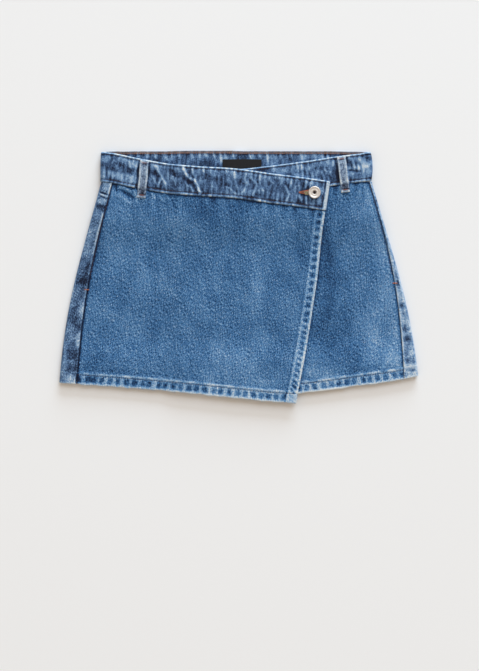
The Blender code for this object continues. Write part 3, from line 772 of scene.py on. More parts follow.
# The flap's edge: its x at each share of the way from the waistband to the hem
FLAP_LINE = ((0.0, 0.1186), (0.1, 0.1148), (0.2, 0.1119), (0.34, 0.1081), (0.5, 0.1018), (0.62, 0.0969),
             (0.76, 0.0906), (0.88, 0.0845), (0.96, 0.0802), (1.0, 0.0785))
# About the share of that line that lies above the underlap's hem
FLAP_REACH = 0.94
# The deepest that the panels' relief goes, and how far their hems' edges waver
DEEPEST = 0.45 * MM
HEM_WAVER = 0.35 * MM
# The Y of the foot of each pocket's mouth, where its bar tack lies
POCKET_STOP = {LEFT: -0.0174, RIGHT: -0.0085}
STITCH_LIFT = 0.00012
# How far the rows of stitches are from the side seams, and the ends of the underlap's hem row
SEAM_ROW_INSET = {LEFT: 0.0012, RIGHT: 0.0022}
UNDERLAP_HEM_ROW = (0.0840, 0.2240)
# Soft ovals of lighter and darker tone, some of them painted shade: place, half width, half height, lean and
# change of tone
Patch = namedtuple("Patch", "x y wide tall lean amount")
UNDERLAP_PATCHES = [Patch(*row) for row in (
    (122, 22, 11, 64, 5, -0.115), (120, -66, 15, 40, 10, -0.07), (148, -58, 12, 52, 6, -0.07),
    (166, -26, 9, 30, 0, 0.04), (187, -84, 13, 38, 2, 0.125), (207, -60, 9, 70, 10, 0.075),
    (150, 70, 14, 30, 4, -0.03), (190, 40, 12, 40, 10, 0.04), (126, 100, 14, 12, 0, -0.035),
    (176, 112, 7, 10, -20, 0.05), (208, -106, 11, 14, 0, 0.085), (182, -46, 14, 14, 0, 0.04),
    (124, 5, 10, 90, 4, -0.035), (207, -58, 8, 14, 0, -0.09), (99, -128, 9, 9, 0, 0.11),
    (118, -136, 26, 9, 6, 0.08), (103, -85, 16, 50, 8, -0.035), (208, -118, 9, 14, 0, 0.05),
    (180, -76, 10, 14, 0, 0.03), (150, -116, 20, 12, 10, -0.02), (112, -134, 22, 9, 0, 0.08),
)]
# Ridges, or valleys where the height is below 0, along short lines: width, height, tone, points.
# On the waistband a few dark valleys are painted shadows beside the front belt loops.
Crease = namedtuple("Crease", "width height tone route")
UNDERLAP_CREASES = [Crease(*row) for row in (
    (2.2, 0.25, 0.05, ((165, 120), (158, 98), (156, 84))), (2.0, 0.2, 0.05, ((132, 110), (130, 92))),
    (3.0, -0.25, -0.05, ((171, 116), (166, 92))), (3.0, 0.25, 0.04, ((140, -30), (128, -52), (122, -80))),
    (2.5, 0.2, 0.04, ((222, -108), (212, -122))), (2.5, 0.2, 0.05, ((206, -112), (198, -126))),
)]


def patches_at(x, y, patches):
    """The sum of soft ovals: amount x exp(-(a / wide)^2 - (b / tall)^2), a and b being the
    distances across and along an oval that leans to the left by an angle."""
    total = np.zeros(np.broadcast(x, y).shape)
    for row in patches:
        lean = math.radians(row.lean)
        across, up = x / MM - row.x, y / MM - row.y
        a = across * math.cos(lean) + up * math.sin(lean)
        b = up * math.cos(lean) - across * math.sin(lean)
        total += row.amount * np.exp(-(a / row.wide) ** 2 - (b / row.tall) ** 2)
    return total


def creases_at(x, y, creases):
    """The height and tone of ridges along short lines. With d the distance from the nearest
    point of the line, the height is a hump of d, and the tone 1.4 of that hump less 0.4 of one
    2.6 times as wide, so that a pale ridge lies between two darker flanks."""
    height, tone = np.zeros(np.broadcast(x, y).shape), np.zeros(np.broadcast(x, y).shape)
    here = np.stack(np.broadcast_arrays(x, y), axis=-1) / MM
    for row in creases:
        route = np.array(row.route, float)
        nearest = np.full(height.shape, 1e9)
        for start, end in zip(route, route[1:]):
            way = end - start
            share = np.clip(((here - start) @ way) / (way @ way), 0.0, 1.0)
            nearest = np.minimum(nearest, np.linalg.norm(here - start - share[..., None] * way, axis=-1))
        ridge = hump(nearest, row.width)
        height += row.height * MM * ridge
        tone += row.tone * (1.4 * ridge - 0.4 * hump(nearest, 2.6 * row.width))
    return height, tone


def waist_look(x, from_band, seed):
    """Short gathers under the waistband that fade out down the panel, and a painted shadow just under its
    edge.
    """
    fade = np.exp(-from_band / 11.0)
    gather = blotch(x / MM, 0.25 * from_band, 6.0, seed)
    # The dark hump right under the band's edge is painted shadow of the band.
    tone = 0.075 * gather * fade - 0.26 * hump(from_band, 2.0)
    return tone, (0.16 * gather * fade - 0.15 * hump(from_band, 2.0)) * MM


def share_down(side, x, y):
    """The share of the way from the waistband to the hem."""
    top = front_top(side, x)
    return (top - y) / (top - front_hem(side, x))


def panel_look(side, x, y, creases, patches, lean, seed, cloud, wave):
    """The tone and relief that both wrap panels have: the sums of those of the hem, the gathers
    under the waistband with the painted shadow of its edge, the creases and the patches (some
    of them painted shade), with faint clouds on the tone and long waves in the relief. cloud
    and wave are each (size, seed)."""
    from_hem, from_band = (y - front_hem(side, x)) / MM, (front_top(side, x) - y) / MM
    hem_tone, hem_relief = hem_look(x / MM, from_hem, seed, lean)
    waist_tone, waist_relief = waist_look(x, from_band, seed + 1)
    crease_relief, crease_tone = creases_at(x, y, creases)
    tone = BODY_TONE + 0.012 * blotch(x / MM, y / MM, *cloud) + patches_at(x, y, patches)
    relief = hem_relief + waist_relief + crease_relief + 0.12 * MM * blotch(x / MM, y / MM, *wave)
    return tone + hem_tone + waist_tone + crease_tone, relief


def underlap_edge_x(share):
    """Where the underlap ends beside its side seam."""
    turn_x = fold_x(RIGHT, share) - 0.5 * (UNDER.body - BACK.body)
    return np.minimum(seam_x(RIGHT, share), turn_x - SEAM_GAP) - 2 * SEAM_GAP


def underlap_face(x, y):
    """The height, tone and thickness of the underlap at a place on it: the panels' common look,
    a painted shadow along the flap's edge, a dark groove at the side seam and a pale ridge
    beside it. Its relief stops at the flap, whose edge reaches lower than the underlap's hem."""
    share = share_down(RIGHT, x, y)
    past_flap = x - along(FLAP_LINE, share * FLAP_REACH)
    from_seam = (underlap_edge_x(share) - x) / MM
    tone, relief = panel_look(RIGHT, x, y, UNDERLAP_CREASES, UNDERLAP_PATCHES, -0.15, 52,
                              (24.0, 54), (38.0, 55))
    # A painted shadow of the flap's edge, stronger towards the waist.
    tone = tone - mix(0.18, 0.07, ease(-10.0, -60.0, y / MM)) * hump(past_flap / MM - 1.8, 3.8)
    tone = tone - 0.20 * hump(from_seam, 1.6) + 0.07 * hump(from_seam - 6.5, 5.0)
    relief = np.maximum(relief - 0.25 * MM * hump(from_seam, 1.5), -DEEPEST)
    thickness = mix(DENIM, FOLDED, in_turning((y - front_hem(RIGHT, x)) / MM, HEM_DEPTH))
    return level(UNDER, y) + ease(0.001, 0.004, past_flap) * relief, tone, thickness


def panel(name, grid, face, plain, material):
    """A panel from its places: the upper side at its face's height, the lower side a thickness
    below it and a fifth of the relief more, and the two drawn together round the edges. plain
    gives the upper side's height without relief."""
    x, y, from_edge = grid
    height, tone, thickness = face(x, y)
    raised = np.maximum(height - plain(x, y), 0.0)
    half = 0.5 * thickness * (1.0 - rim(from_edge, thickness))
    upper = np.stack([x, y, height - half], axis=-1)
    lower = np.stack([x, y, height - raised * 0.2 - thickness + half], axis=-1)
    return shell(name, upper, lower, np.stack([x, y], axis=-1), tone, material)


def panel_grid(side, left_x, right_x, near_waist, across, seed):
    """A panel's places by rows down and columns across, between two side edges that are given
    at each share of the way down, and how far each place is from the nearest edge. The hem's
    edge wavers a little."""
    shares = shares_down((0.8, 0.2), near_waist, (236.0, 2.4), (259.0, 0.9), (261.2, 0.55), (262.0, 0.2))
    left, right = left_x(shares), right_x(shares)
    x = mix(left, right, across / across[-1])
    y = mix(front_top(side, x), front_hem(side, x), shares)
    y = y - HEM_WAVER * blotch(x / MM, 0.0, 8.0, seed) * ease(0.97, 1.0, shares)
    from_edge = np.minimum(np.minimum(x - left, right - x), np.minimum(shares, 1.0 - shares) * FRONT_LENGTH)
    return x, y, from_edge


def on_face(face, x, y):
    """A line of points for stitches on a panel's face."""
    return np.stack([x, y, face(x, y)[0] + STITCH_LIFT], axis=-1)


def side_seam_row(side, face):
    """The row that holds the pocket's mouth, beside the side seam down to the bar tack."""
    share = np.linspace(0.015, 0.47, 60)
    x = side.sign * (seam_x(side, share) - SEAM_ROW_INSET[side])
    y = mix(front_top(side, x), front_hem(side, x), share)
    keep = y > POCKET_STOP[side] + 0.002
    return row_of(on_face(face, x[keep], y[keep]))


def panel_rows(side, face, hem_x):
    """The row of stitches along a panel's hem, and the one beside its side seam."""
    hem = row_of(on_face(face, hem_x, front_hem(side, hem_x) + HEM_DEPTH * MM))
    return [hem, side_seam_row(side, face)]


columns = places(0.0, (1.2, 0.4), (130.0, 6.0), (286.0, 1.5), (291.0, 0.8), (292.0, 0.2))
grid = panel_grid(RIGHT, lambda share: UNDERLAP_EDGE_X, underlap_edge_x, (12.0, 1.4), columns, 56)
underlap = panel("front_underlap", grid, underlap_face, lambda x, y: level(UNDER, y), PANEL_DENIM)
stand_for(underlap, "denim", "front_underlap")
rows = panel_rows(RIGHT, underlap_face, np.linspace(*UNDERLAP_HEM_ROW, 60))
sewn = stitching("underlap_stitches", rows, RUST_THREAD, "denim")

# ---------------------------------------------------------------------------------------
# The overlap: the skirt's left front, one panel across to the flap. The flap's edge and the
# hem are turned under, and pucker where they are stitched. Long soft patches run down it, in
# part painted shade of soft folds.
FLAP_FACING = 13.5
OVERLAP_HEM_ROW = (-0.2225, 0.0775)
# The bar tacks' half length and half width
POCKET_BAR = (0.0030, 0.0009)
POCKET_BAR_LIFT = 0.0004
TACK_THREAD_RADIUS = 0.00033
OVER = Layer(0.0110, 0.0078, 0.0092)
STEP_UP = (-0.110, -0.074)
OVERLAP_PATCHES = [Patch(*row) for row in (
    (-22, 113, 56, 36, 0, -0.105), (-165, 55, 14, 60, 0, 0.03), (-115, 20, 7, 70, 0, -0.022),
    (-134, 68, 7, 18, 0, -0.035), (-132, 12, 10, 22, 0, 0.035), (-37, 50, 8, 42, 0, -0.045),
    (-14, 16, 9, 50, 0, -0.032), (25, -24, 9, 42, 0, 0.068), (85, 46, 10, 46, 4, -0.08),
    (46, 50, 9, 40, 0, -0.028), (-8, -118, 36, 20, 0, 0.098), (-82, -50, 18, 14, 0, -0.018),
    (-112, -68, 12, 14, 0, -0.03), (-174, 118, 6, 11, 20, 0.13), (-160, 90, 14, 14, 0, 0.03),
    (28, -100, 12, 20, 0, 0.01), (-198, -112, 16, 6, 8, -0.06), (96, -30, 8, 40, 4, 0.025),
    (82, -100, 10, 34, 4, 0.075), (-150, -110, 34, 18, 0, 0.028), (64, 70, 6, 30, 0, 0.01),
    (-96, 82, 18, 16, 0, 0.02), (62, -60, 9, 30, 0, -0.02), (-204, -125, 10, 10, 0, -0.05),
    (-217.5, -141, 4, 5, 0, -0.16), (99, 97, 9, 8, 0, -0.14), (84, -128, 12, 12, 0, 0.06),
    (-206, 25, 10, 30, 0, -0.05), (-194, 40, 7, 60, -12, -0.055), (-45, -141, 45, 9, -5.5, 0.05),
    (35, -149, 30, 11, -5.5, 0.1), (-150, -132, 40, 5, -4.5, -0.03),
)]
OVERLAP_CREASES = [Crease(*row) for row in (
    (2.6, -0.3, -0.22, ((-168, 124), (-166.5, 118))),
    (3.0, -0.45, -0.22, ((-161, 119), (-152, 113), (-144, 108.6))),
    (2.4, 0.3, 0.14, ((-157, 122), (-149, 117))), (2.2, 0.25, 0.12, ((-162, 110), (-148, 101))),
    (1.8, 0.2, 0.14, ((-143, 118), (-141, 110), (-139.5, 103))), (1.6, 0.2, 0.15, ((-119, 115), (-115, 108))),
    (1.6, 0.2, 0.16, ((-110, 113), (-103.5, 104))), (1.5, 0.2, 0.14, ((-98, 110), (-91, 97))),
    (2.0, 0.15, 0.05, ((-20, 104), (-14, 84))), (1.6, 0.15, 0.07, ((49, 97), (54, 88))),
    (2.2, -0.2, -0.06, ((-186, -101), (-208, -110))),
    (2.6, 0.2, 0.05, ((-216, -118), (-196, -103), (-176, -99))),
    (2.4, 0.15, 0.04, ((84, 64), (89, 48), (92, 42))), (3.0, 0.2, 0.03, ((-60, 20), (-48, -20), (-44, -60))),
    (3.5, 0.2, 0.02, ((-140, 40), (-128, 0), (-122, -40))),
)]


def overlap_level(x, y):
    """The overlap lies low at the left, and on the underlap from STEP_UP to the right."""
    return mix(level(UNDER, y), level(OVER, y), ease(*STEP_UP, x))


def overlap_face(x, y):
    """The height, tone and thickness of the overlap at a place on it: the panels' common look,
    a groove at the side seam, and down the flap a facing with hollows, a worn frayed edge and a
    seam, which meet the hem in a pale square corner."""
    share = share_down(LEFT, x, y)
    from_hem = (y - front_hem(LEFT, x)) / MM
    from_flap = (along(FLAP_LINE, share) - x) / MM
    from_seam = (x + seam_x(LEFT, share) - SEAM_GAP) / MM
    tone, relief = panel_look(LEFT, x, y, OVERLAP_CREASES, OVERLAP_PATCHES, 0.12, 61, (26.0, 63), (40.0, 65))
    low = ease(-40.0, -120.0, y / MM)
    walked = y / MM - 0.38 * np.maximum(0.0, -60.0 - y / MM)
    pulled = hollows(walked, from_flap, -196.0, 92.0, 10.4, 6.9, 3.8, 0.9 * low, 64, 0.92)
    on_facing = ease(FLAP_FACING + 0.8, FLAP_FACING - 0.8, from_flap) * ease(4.0, HEM_DEPTH + 3.0, from_hem)
    past_facing = from_flap - FLAP_FACING
    tone = tone + on_facing * (0.175 - 0.39 * pulled) + mix(-0.04, 0.03, low) * hump(past_facing, 1.4)
    frayed = 1.0 + 0.2 * blotch(y / MM, 0.0, 4.0, 68)
    lower = ease(30.0, -50.0, y / MM)
    edge_at, edge_width = mix(2.0, 1.2, lower), mix(1.9, 1.6, lower)
    tone = tone + mix(0.175, 0.215, lower) * frayed * hump(from_flap - edge_at, edge_width)
    tone = tone - 0.50 * hump(from_seam, 2.3) - mix(0.03, 0.09, low) * hump(past_facing - 2.6, 1.1)
    in_corner = ease(HEM_DEPTH + 0.5, HEM_DEPTH - 0.5, from_hem)
    in_corner = in_corner * ease(FLAP_FACING + 1.0, FLAP_FACING, from_flap)
    tone = mix(tone, 0.68, 0.75 * in_corner)
    corner_seam = hump(past_facing - 2.0, 1.0) * ease(HEM_DEPTH + 4.0, HEM_DEPTH, from_hem)
    tone = tone - 0.30 * corner_seam
    relief = relief + MM * (0.22 * hump(past_facing, 1.8) - 0.40 * pulled * on_facing)
    relief = relief - MM * (0.30 * hump(from_seam, 1.5) + 0.3 * corner_seam)
    turned_in = np.maximum(in_turning(from_hem, HEM_DEPTH), in_turning(from_flap, FLAP_FACING))
    thickness = mix(DENIM, FOLDED, turned_in)
    return overlap_level(x, y) + np.maximum(relief, -DEEPEST), tone, thickness


def bar_of(centre, half_length, half_width, count=11):
    """A bar tack: a zigzag of close stitches from one end of half_length to the other."""
    centre, half_length, half_width = (np.asarray(v, float) for v in (centre, half_length, half_width))
    shares = np.linspace(-1.0, 1.0, count)[:, None]
    wiggle = 0.12 * half_length * np.where(np.arange(count)[:, None] % 2, 1.0, -1.0)
    spine = centre + shares * half_length
    return np.stack([spine - half_width - wiggle, spine + half_width + wiggle])


def tack_at(side):
    """The bar tack across the side seam at the foot of the pocket's mouth."""
    share = np.linspace(0.3, 0.7, 200)
    x = side.sign * seam_x(side, share)
    y = mix(front_top(side, x), front_hem(side, x), share)
    nearest = np.argmin(abs(y - POCKET_STOP[side]))
    x, y = x[nearest], y[nearest]
    half_length, half_width = POCKET_BAR
    centre = (x, y, level(UNDER, y) + POCKET_BAR_LIFT)
    return bar_of(centre, (half_length, 0.0, 0.0), (0.0, half_width, 0.0))


def overlap_left_x(share):
    """Where the overlap begins beside its side seam."""
    return SEAM_GAP - seam_x(LEFT, share)


TACK_THREAD = thread("tack_thread", (192, 122, 92))
columns = places(0.0, (0.8, 0.2), (6.0, 0.9), (280.0, 1.6), (297.0, 0.9), (299.2, 0.55), (300.0, 0.2))
grid = panel_grid(LEFT, overlap_left_x, lambda share: along(FLAP_LINE, share), (14.0, 1.2), columns, 66)
overlap = panel("front_overlap", grid, overlap_face, overlap_level, PANEL_DENIM)
stand_for(overlap, "denim", "front_overlap")
rows = panel_rows(LEFT, overlap_face, np.linspace(*OVERLAP_HEM_ROW, 90))
sewn = stitching("overlap_stitches", rows, RUST_THREAD, "denim")
tacks = stitching("pocket_tacks", [tack_at(side) for side, _ in SIDES], TACK_THREAD, "denim",
                  radius=TACK_THREAD_RADIUS)

# ---------------------------------------------------------------------------------------
# The waistband: one long strip of denim folded along its top and stitched along both edges,
# from the buttoned end round the left side and the back to the end under the overlap. It is
# the most worn piece, creased all along, with white edges.
BAND_THICKNESS = 0.0026
UNDER_BAND_Z = 0.0075
OVER_BAND_Z = 0.0105
BACK_BAND_Z = 0.0031
BAND_FOLD_LEFT = -0.1898
BAND_FOLD_RIGHT = 0.1836
HALF_BAND = 0.5 * BAND_HEIGHT / MM
# How far its top edge stands beyond that half, in millimetres, by places along each stretch
BAND_TOP_OUT = {
    "over": ((-0.186, 1.3), (-0.170, 0.7), (0.122, 0.6)),
    "back": ((-0.186, 1.3), (-0.172, 0.6), (-0.158, -0.6), (-0.100, -0.8), (-0.072, -0.1), (-0.012, -0.2),
             (0.008, -0.8), (0.150, -0.7), (0.165, 0.1), (0.179, 1.4)),
    "under": ((0.020, 0.5), (0.125, 0.5), (0.150, 0.0), (0.168, 0.2), (0.179, 1.4)),
}
BAND_TONE = 0.348
INSIDE_TONE = 0.288
STITCH_INSET = 3.0
FOOT_INSET = 4.1
END_WORN = 5.2
BAND_CORNER = 2.2
BAND_STITCH_SUNK = 0.0001
# The ends of its rows of stitches, on each stretch
OVER_ROW = (-0.185, 0.1155)
UNDER_ROW = (0.020, 0.1775)
BACK_ROW = (-0.184, 0.177)
EDGE_THREAD_RADIUS = 0.0005
FUZZ_THREAD_RADIUS = 0.00042
OVERLAP_BAND_CREASES_AND_SHADOWS = [Crease(*row) for row in (
    (1.8, 0.35, 0.28, ((-114, 152), (-109.7, 144), (-104.8, 136), (-100, 127.5), (-99, 119.7))),
    (1.5, 0.25, 0.23, ((-119, 138), (-114, 130), (-111, 124), (-107, 134.5))),
    (1.5, 0.2, 0.21, ((-90, 137), (-86, 126))),
    (2.0, 0.35, 0.37, ((-76, 149), (-73, 142), (-67.7, 135), (-60.7, 131.7), (-57, 126), (-55, 119),
                       (-52, 115))),
    (1.6, 0.25, 0.25, ((-64, 147), (-62.7, 141.4), (-60, 136), (-60, 131.7))),
    (1.6, 0.2, 0.23, ((-73, 130), (-70.6, 124.7))), (1.6, 0.2, 0.21, ((-67, 125.4), (-62, 116))),
    (1.5, 0.2, 0.19, ((-46.7, 120), (-45, 115))), (1.5, 0.1, 0.08, ((-36.6, 148), (-36.6, 114))),
    (1.8, 0.3, 0.28, ((-6, 143), (-5.5, 134.4), (-3.4, 126), (-1, 119), (0, 113))),
    (1.6, 0.2, 0.21, ((-17.4, 123), (-11.8, 121), (-8, 117), (-4, 113.4))),
    (1.6, 0.25, 0.23, ((9.9, 141), (9, 134), (9.9, 126), (7, 117.7), (4.4, 115))),
    (1.8, 0.3, 0.28, ((16, 136), (22.5, 129), (25, 126), (21.8, 118), (19, 111.5))),
    (1.8, 0.3, 0.26, ((28.8, 140), (28.8, 129), (31, 122), (33, 118))),
    (2.0, 0.2, 0.19, ((40, 135), (44, 131), (47, 128))), (1.6, 0.2, 0.21, ((58.8, 135), (58.8, 128))),
    (1.6, 0.25, 0.23, ((72.8, 134), (70, 122))), (1.9, 0.3, 0.28, ((64, 124), (69, 113), (65.8, 104))),
    (1.5, 0.2, 0.18, ((82.6, 131), (82, 125))), (1.8, 0.3, 0.3, ((91.7, 131), (91, 122))),
    (1.5, 0.2, 0.18, ((98, 129), (97.5, 123))), (1.6, 0.25, 0.23, ((83, 111), (86, 104))),
    (1.8, 0.3, 0.3, ((91.7, 109), (93, 99.6))), (1.8, 0.2, 0.23, ((-150, 157), (-148, 149))),
    (2.0, 0.25, 0.14, ((-172, 158), (-165, 160), (-160, 165))),
    # These two dark valleys are painted shadows beside the left front belt loop's edges.
    (1.9, -0.25, -0.27, ((-136.7, 157), (-140.4, 122))), (1.9, -0.2, -0.27, ((-122.0, 155), (-125.6, 119))),
)]
# Where short worn creases hang from the stitches along the top and rise from those at the foot
OVERLAP_BAND_TICKS = (-91, -83, -76, -63, -48, -39, -32, -17, -6, 14, 36, 50, 78, 100, 108)
OVERLAP_BAND_FOOT_TICKS = (-71, -63, -46, -36, -24, 4, 14, 40, 52, 76)
OVERLAP_BAND_PATCHES = [Patch(*row) for row in (
    (-178, 148.8, 10, 3.4, 0, -0.18), (-160, 153, 6, 3.2, 0, -0.17), (-151, 144.8, 14, 3.2, 4, -0.18),
    (-117.5, 141.3, 5.5, 4.6, 0, -0.15), (-95.5, 144, 7, 4.2, 0, -0.13), (-67, 129, 3.6, 3, 0, -0.16),
    (-59.2, 121.5, 2.2, 6.5, 8, -0.26), (-178.5, 163.5, 4, 3, 0, 0.22), (-156, 160.5, 7, 3.4, 10, 0.18),
    (-141.5, 152, 3, 3, 0, 0.16), (-175, 140, 12, 5, 0, 0.17), (-159.5, 136.5, 5.5, 5, 0, 0.18),
    (-147, 135, 5.5, 4.4, 0, 0.18), (-187, 152, 2.6, 16, 0, 0.1), (114, 118, 5, 5, 0, 0.06),
    (112, 101, 8, 3, 0, 0.12), (90.5, 115.2, 8, 5.5, 0, -0.3), (48, 122, 6, 8, 0, -0.07),
    (-25, 132, 9, 8, 0, -0.06), (85, 124, 6, 4, 0, -0.09), (110, 128, 6, 3, 0, -0.1),
    (52, 108, 14, 4, 0, 0.1), (0, 113, 16, 4, 0, 0.06), (38, 131, 4, 4, 0, 0.06), (-44, 137, 7, 5, 0, -0.08),
)]
# Long soft shades along the band, each between two places and at a distance across it
Streak = namedtuple("Streak", "first last at wide amount")
OVERLAP_BAND_STREAKS = [Streak(*row) for row in (
    (-190, -137, 4.5, 2.0, -0.05), (-190, -137, 12.0, 1.5, -0.03), (-190, -137, -6.0, 3.2, 0.08),
    (-190, -137, 0.0, 1.6, 0.05), (-125, -15, 4.0, 3.4, -0.055), (-125, -15, -5.0, 2.0, -0.045),
    (-137, -10, -12.8, 3.4, -0.09), (-5, 100, -3.5, 2.2, -0.06), (-10, 100, -12.0, 3.4, -0.12),
    (-137, -15, 14.6, 1.8, 0.07), (-15, 110, 15.0, 1.6, 0.04),
)]
UNDERLAP_BAND_STREAKS = [Streak(*row) for row in (
    (40, 126, 12.0, 3.4, 0.075), (40, 126, 15.8, 1.2, 0.06), (40, 126, 6.2, 1.8, -0.08),
    (45, 126, -1.0, 4.0, 0.03), (45, 200, -11.0, 3.2, -0.07), (148, 200, 13.5, 2.6, 0.05),
    (148, 200, 7.0, 2.4, -0.085), (148, 200, 1.0, 2.2, 0.1), (148, 200, -7.0, 2.0, 0.05),
)]
UNDERLAP_BAND_CREASES_AND_SHADOWS = [Crease(*row) for row in (
    (1.8, 0.25, 0.19, ((130, 159), (128, 151), (128, 145), (124, 142), (118, 146), (116, 148))),
    (1.6, 0.2, 0.14, ((72, 147), (78, 139))), (2.0, 0.2, 0.12, ((150, 166), (156, 156), (160, 149))),
    (1.6, -0.3, -0.2, ((151, 146), (159, 145), (166, 144.5))),
    (1.8, 0.2, 0.11, ((164, 160), (170, 152), (178, 150))), (1.6, 0.15, 0.12, ((110, 150), (106, 140))),
    # The valleys from (132.5, 160) and (148, 162) are painted shadows beside the right front belt loop's
    # edges.
    (1.6, 0.15, 0.11, ((98, 152), (94, 143))), (2.2, -0.2, -0.17, ((132.5, 160), (137, 126))),
    (2.0, -0.2, -0.14, ((148, 162), (153, 129))),
)]
UNDERLAP_BAND_TICKS = (41, 48, 54.5, 60.6, 67, 86, 95, 104, 112, 121)
# The dark ovals near x 131 to 140 are painted shadow along the right front belt loop's left side.
UNDERLAP_BAND_PATCHES = [Patch(*row) for row in (
    (83, 148, 6, 5, 0, 0.12), (131, 138, 4, 5, 0, -0.1), (170, 155, 17, 9, 8, 0.17),
    (168, 138, 16, 5, 4, 0.18), (131, 144, 8, 9, 0, -0.13), (152, 157, 3, 9, 14, -0.07),
    (100, 144, 10, 4, 0, 0.04), (180, 150, 3, 16, 0, 0.1), (122, 152, 5, 6, 0, -0.08),
    (140, 140, 5, 8, 0, -0.14),
)]
INSIDE_TICKS = (-148, -139, -126, -115, -102, -92, -82, -65, -54, -46, -35, -25, -19, -8, 14, 18.5, 28, 39,
                48, 57, 72, 86, 91, 103, 114, 121)


def over_band_z(x):
    """The middle height of the overlap's run of the waistband. It climbs on to the underlap's."""
    return mix(UNDER_BAND_Z, OVER_BAND_Z, ease(*STEP_UP, x))


def band_route():
    """The waistband's line from the buttoned end: over the overlap, round the left side by a
    half circle, across the back, round the right side and along the underlap. Each place also
    has which stretch it is on, 0 to 2, and a half on the turns."""
    left, right = BACK_BAND[0][0], BACK_BAND[-1][0]
    over_x = places(OVERLAP_BAND[-1][0], (0.1216, 0.0003), (0.115, 0.0011), (0.078, 0.0008),
                    (left + 0.002, 0.0009))
    back_x = places(left + 0.002, (right - 0.002, 0.0013))
    under_x = places(right - 0.002, (0.070, 0.0009), (UNDERLAP_BAND[0][0], 0.005))
    runs = [(over_x, along(OVERLAP_BAND, over_x), over_band_z(over_x), 0.0)]
    for edge_x, y, z_from, z_to, stretch in (
            (BAND_FOLD_LEFT, BACK_BAND[0][1], UNDER_BAND_Z, BACK_BAND_Z, 0.5),
            (BAND_FOLD_RIGHT, BACK_BAND[-1][1], BACK_BAND_Z, UNDER_BAND_Z, 1.5)):
        angle = np.linspace(0.0, math.pi, 13)
        radius = 0.5 * abs(z_from - z_to)
        outwards = math.copysign(1.0, edge_x)
        turn_x = edge_x + outwards * (radius * np.sin(angle) - radius - 0.5 * BAND_THICKNESS)
        runs.append((turn_x, 0.0 * angle + y, mix(z_from, z_to, 0.5 - 0.5 * np.cos(angle)), stretch))
    runs.insert(2, (back_x, along(BACK_BAND, back_x), 0.0 * back_x + BACK_BAND_Z, 1.0))
    runs.append((under_x, along(UNDERLAP_BAND, under_x), 0.0 * under_x + UNDER_BAND_Z, 2.0))
    places_at = np.concatenate([np.stack([x, y, z], axis=-1) for x, y, z, _ in runs])
    stretch = np.concatenate([np.full(len(x), part) for x, _, _, part in runs])
    return places_at, stretch


def ticks(x, across, centres, top, reach, lean, seed, widen=1.0):
    """Short worn creases that hang from a stitched edge at uneven lengths: each is a hump
    across it, times exp(-(the distance from the edge / its length)^3)."""
    chance = np.random.default_rng(seed)
    total = np.zeros(np.broadcast(x, across).shape)
    for centre in centres:
        width, length, strength, tilt = chance.uniform((0.8, 0.5, 0.5, -0.25), (1.5, 1.3, 1.0, 0.25))
        down = abs(across - top)
        a = x / MM - centre - (lean + tilt) * down
        total += strength * hump(a, widen * width) * np.exp(-(down / (reach * length)) ** 3)
    return total


def top_edge(part, x):
    """How far a stretch's top edge is from the band's line, in millimetres."""
    return HALF_BAND + np.interp(x, *np.array(BAND_TOP_OUT[part]).T)


def streaks_at(x, across, streaks):
    """Long soft shades along the band: amount x exp(-((across - at) / wide)^2), between two ends."""
    total = 0.0
    for row in streaks:
        here = x / MM
        between = ease(row.first - 5.0, row.first + 5.0, here) * ease(row.last + 5.0, row.last - 5.0, here)
        total = total + row.amount * hump(across - row.at, row.wide) * between
    return total


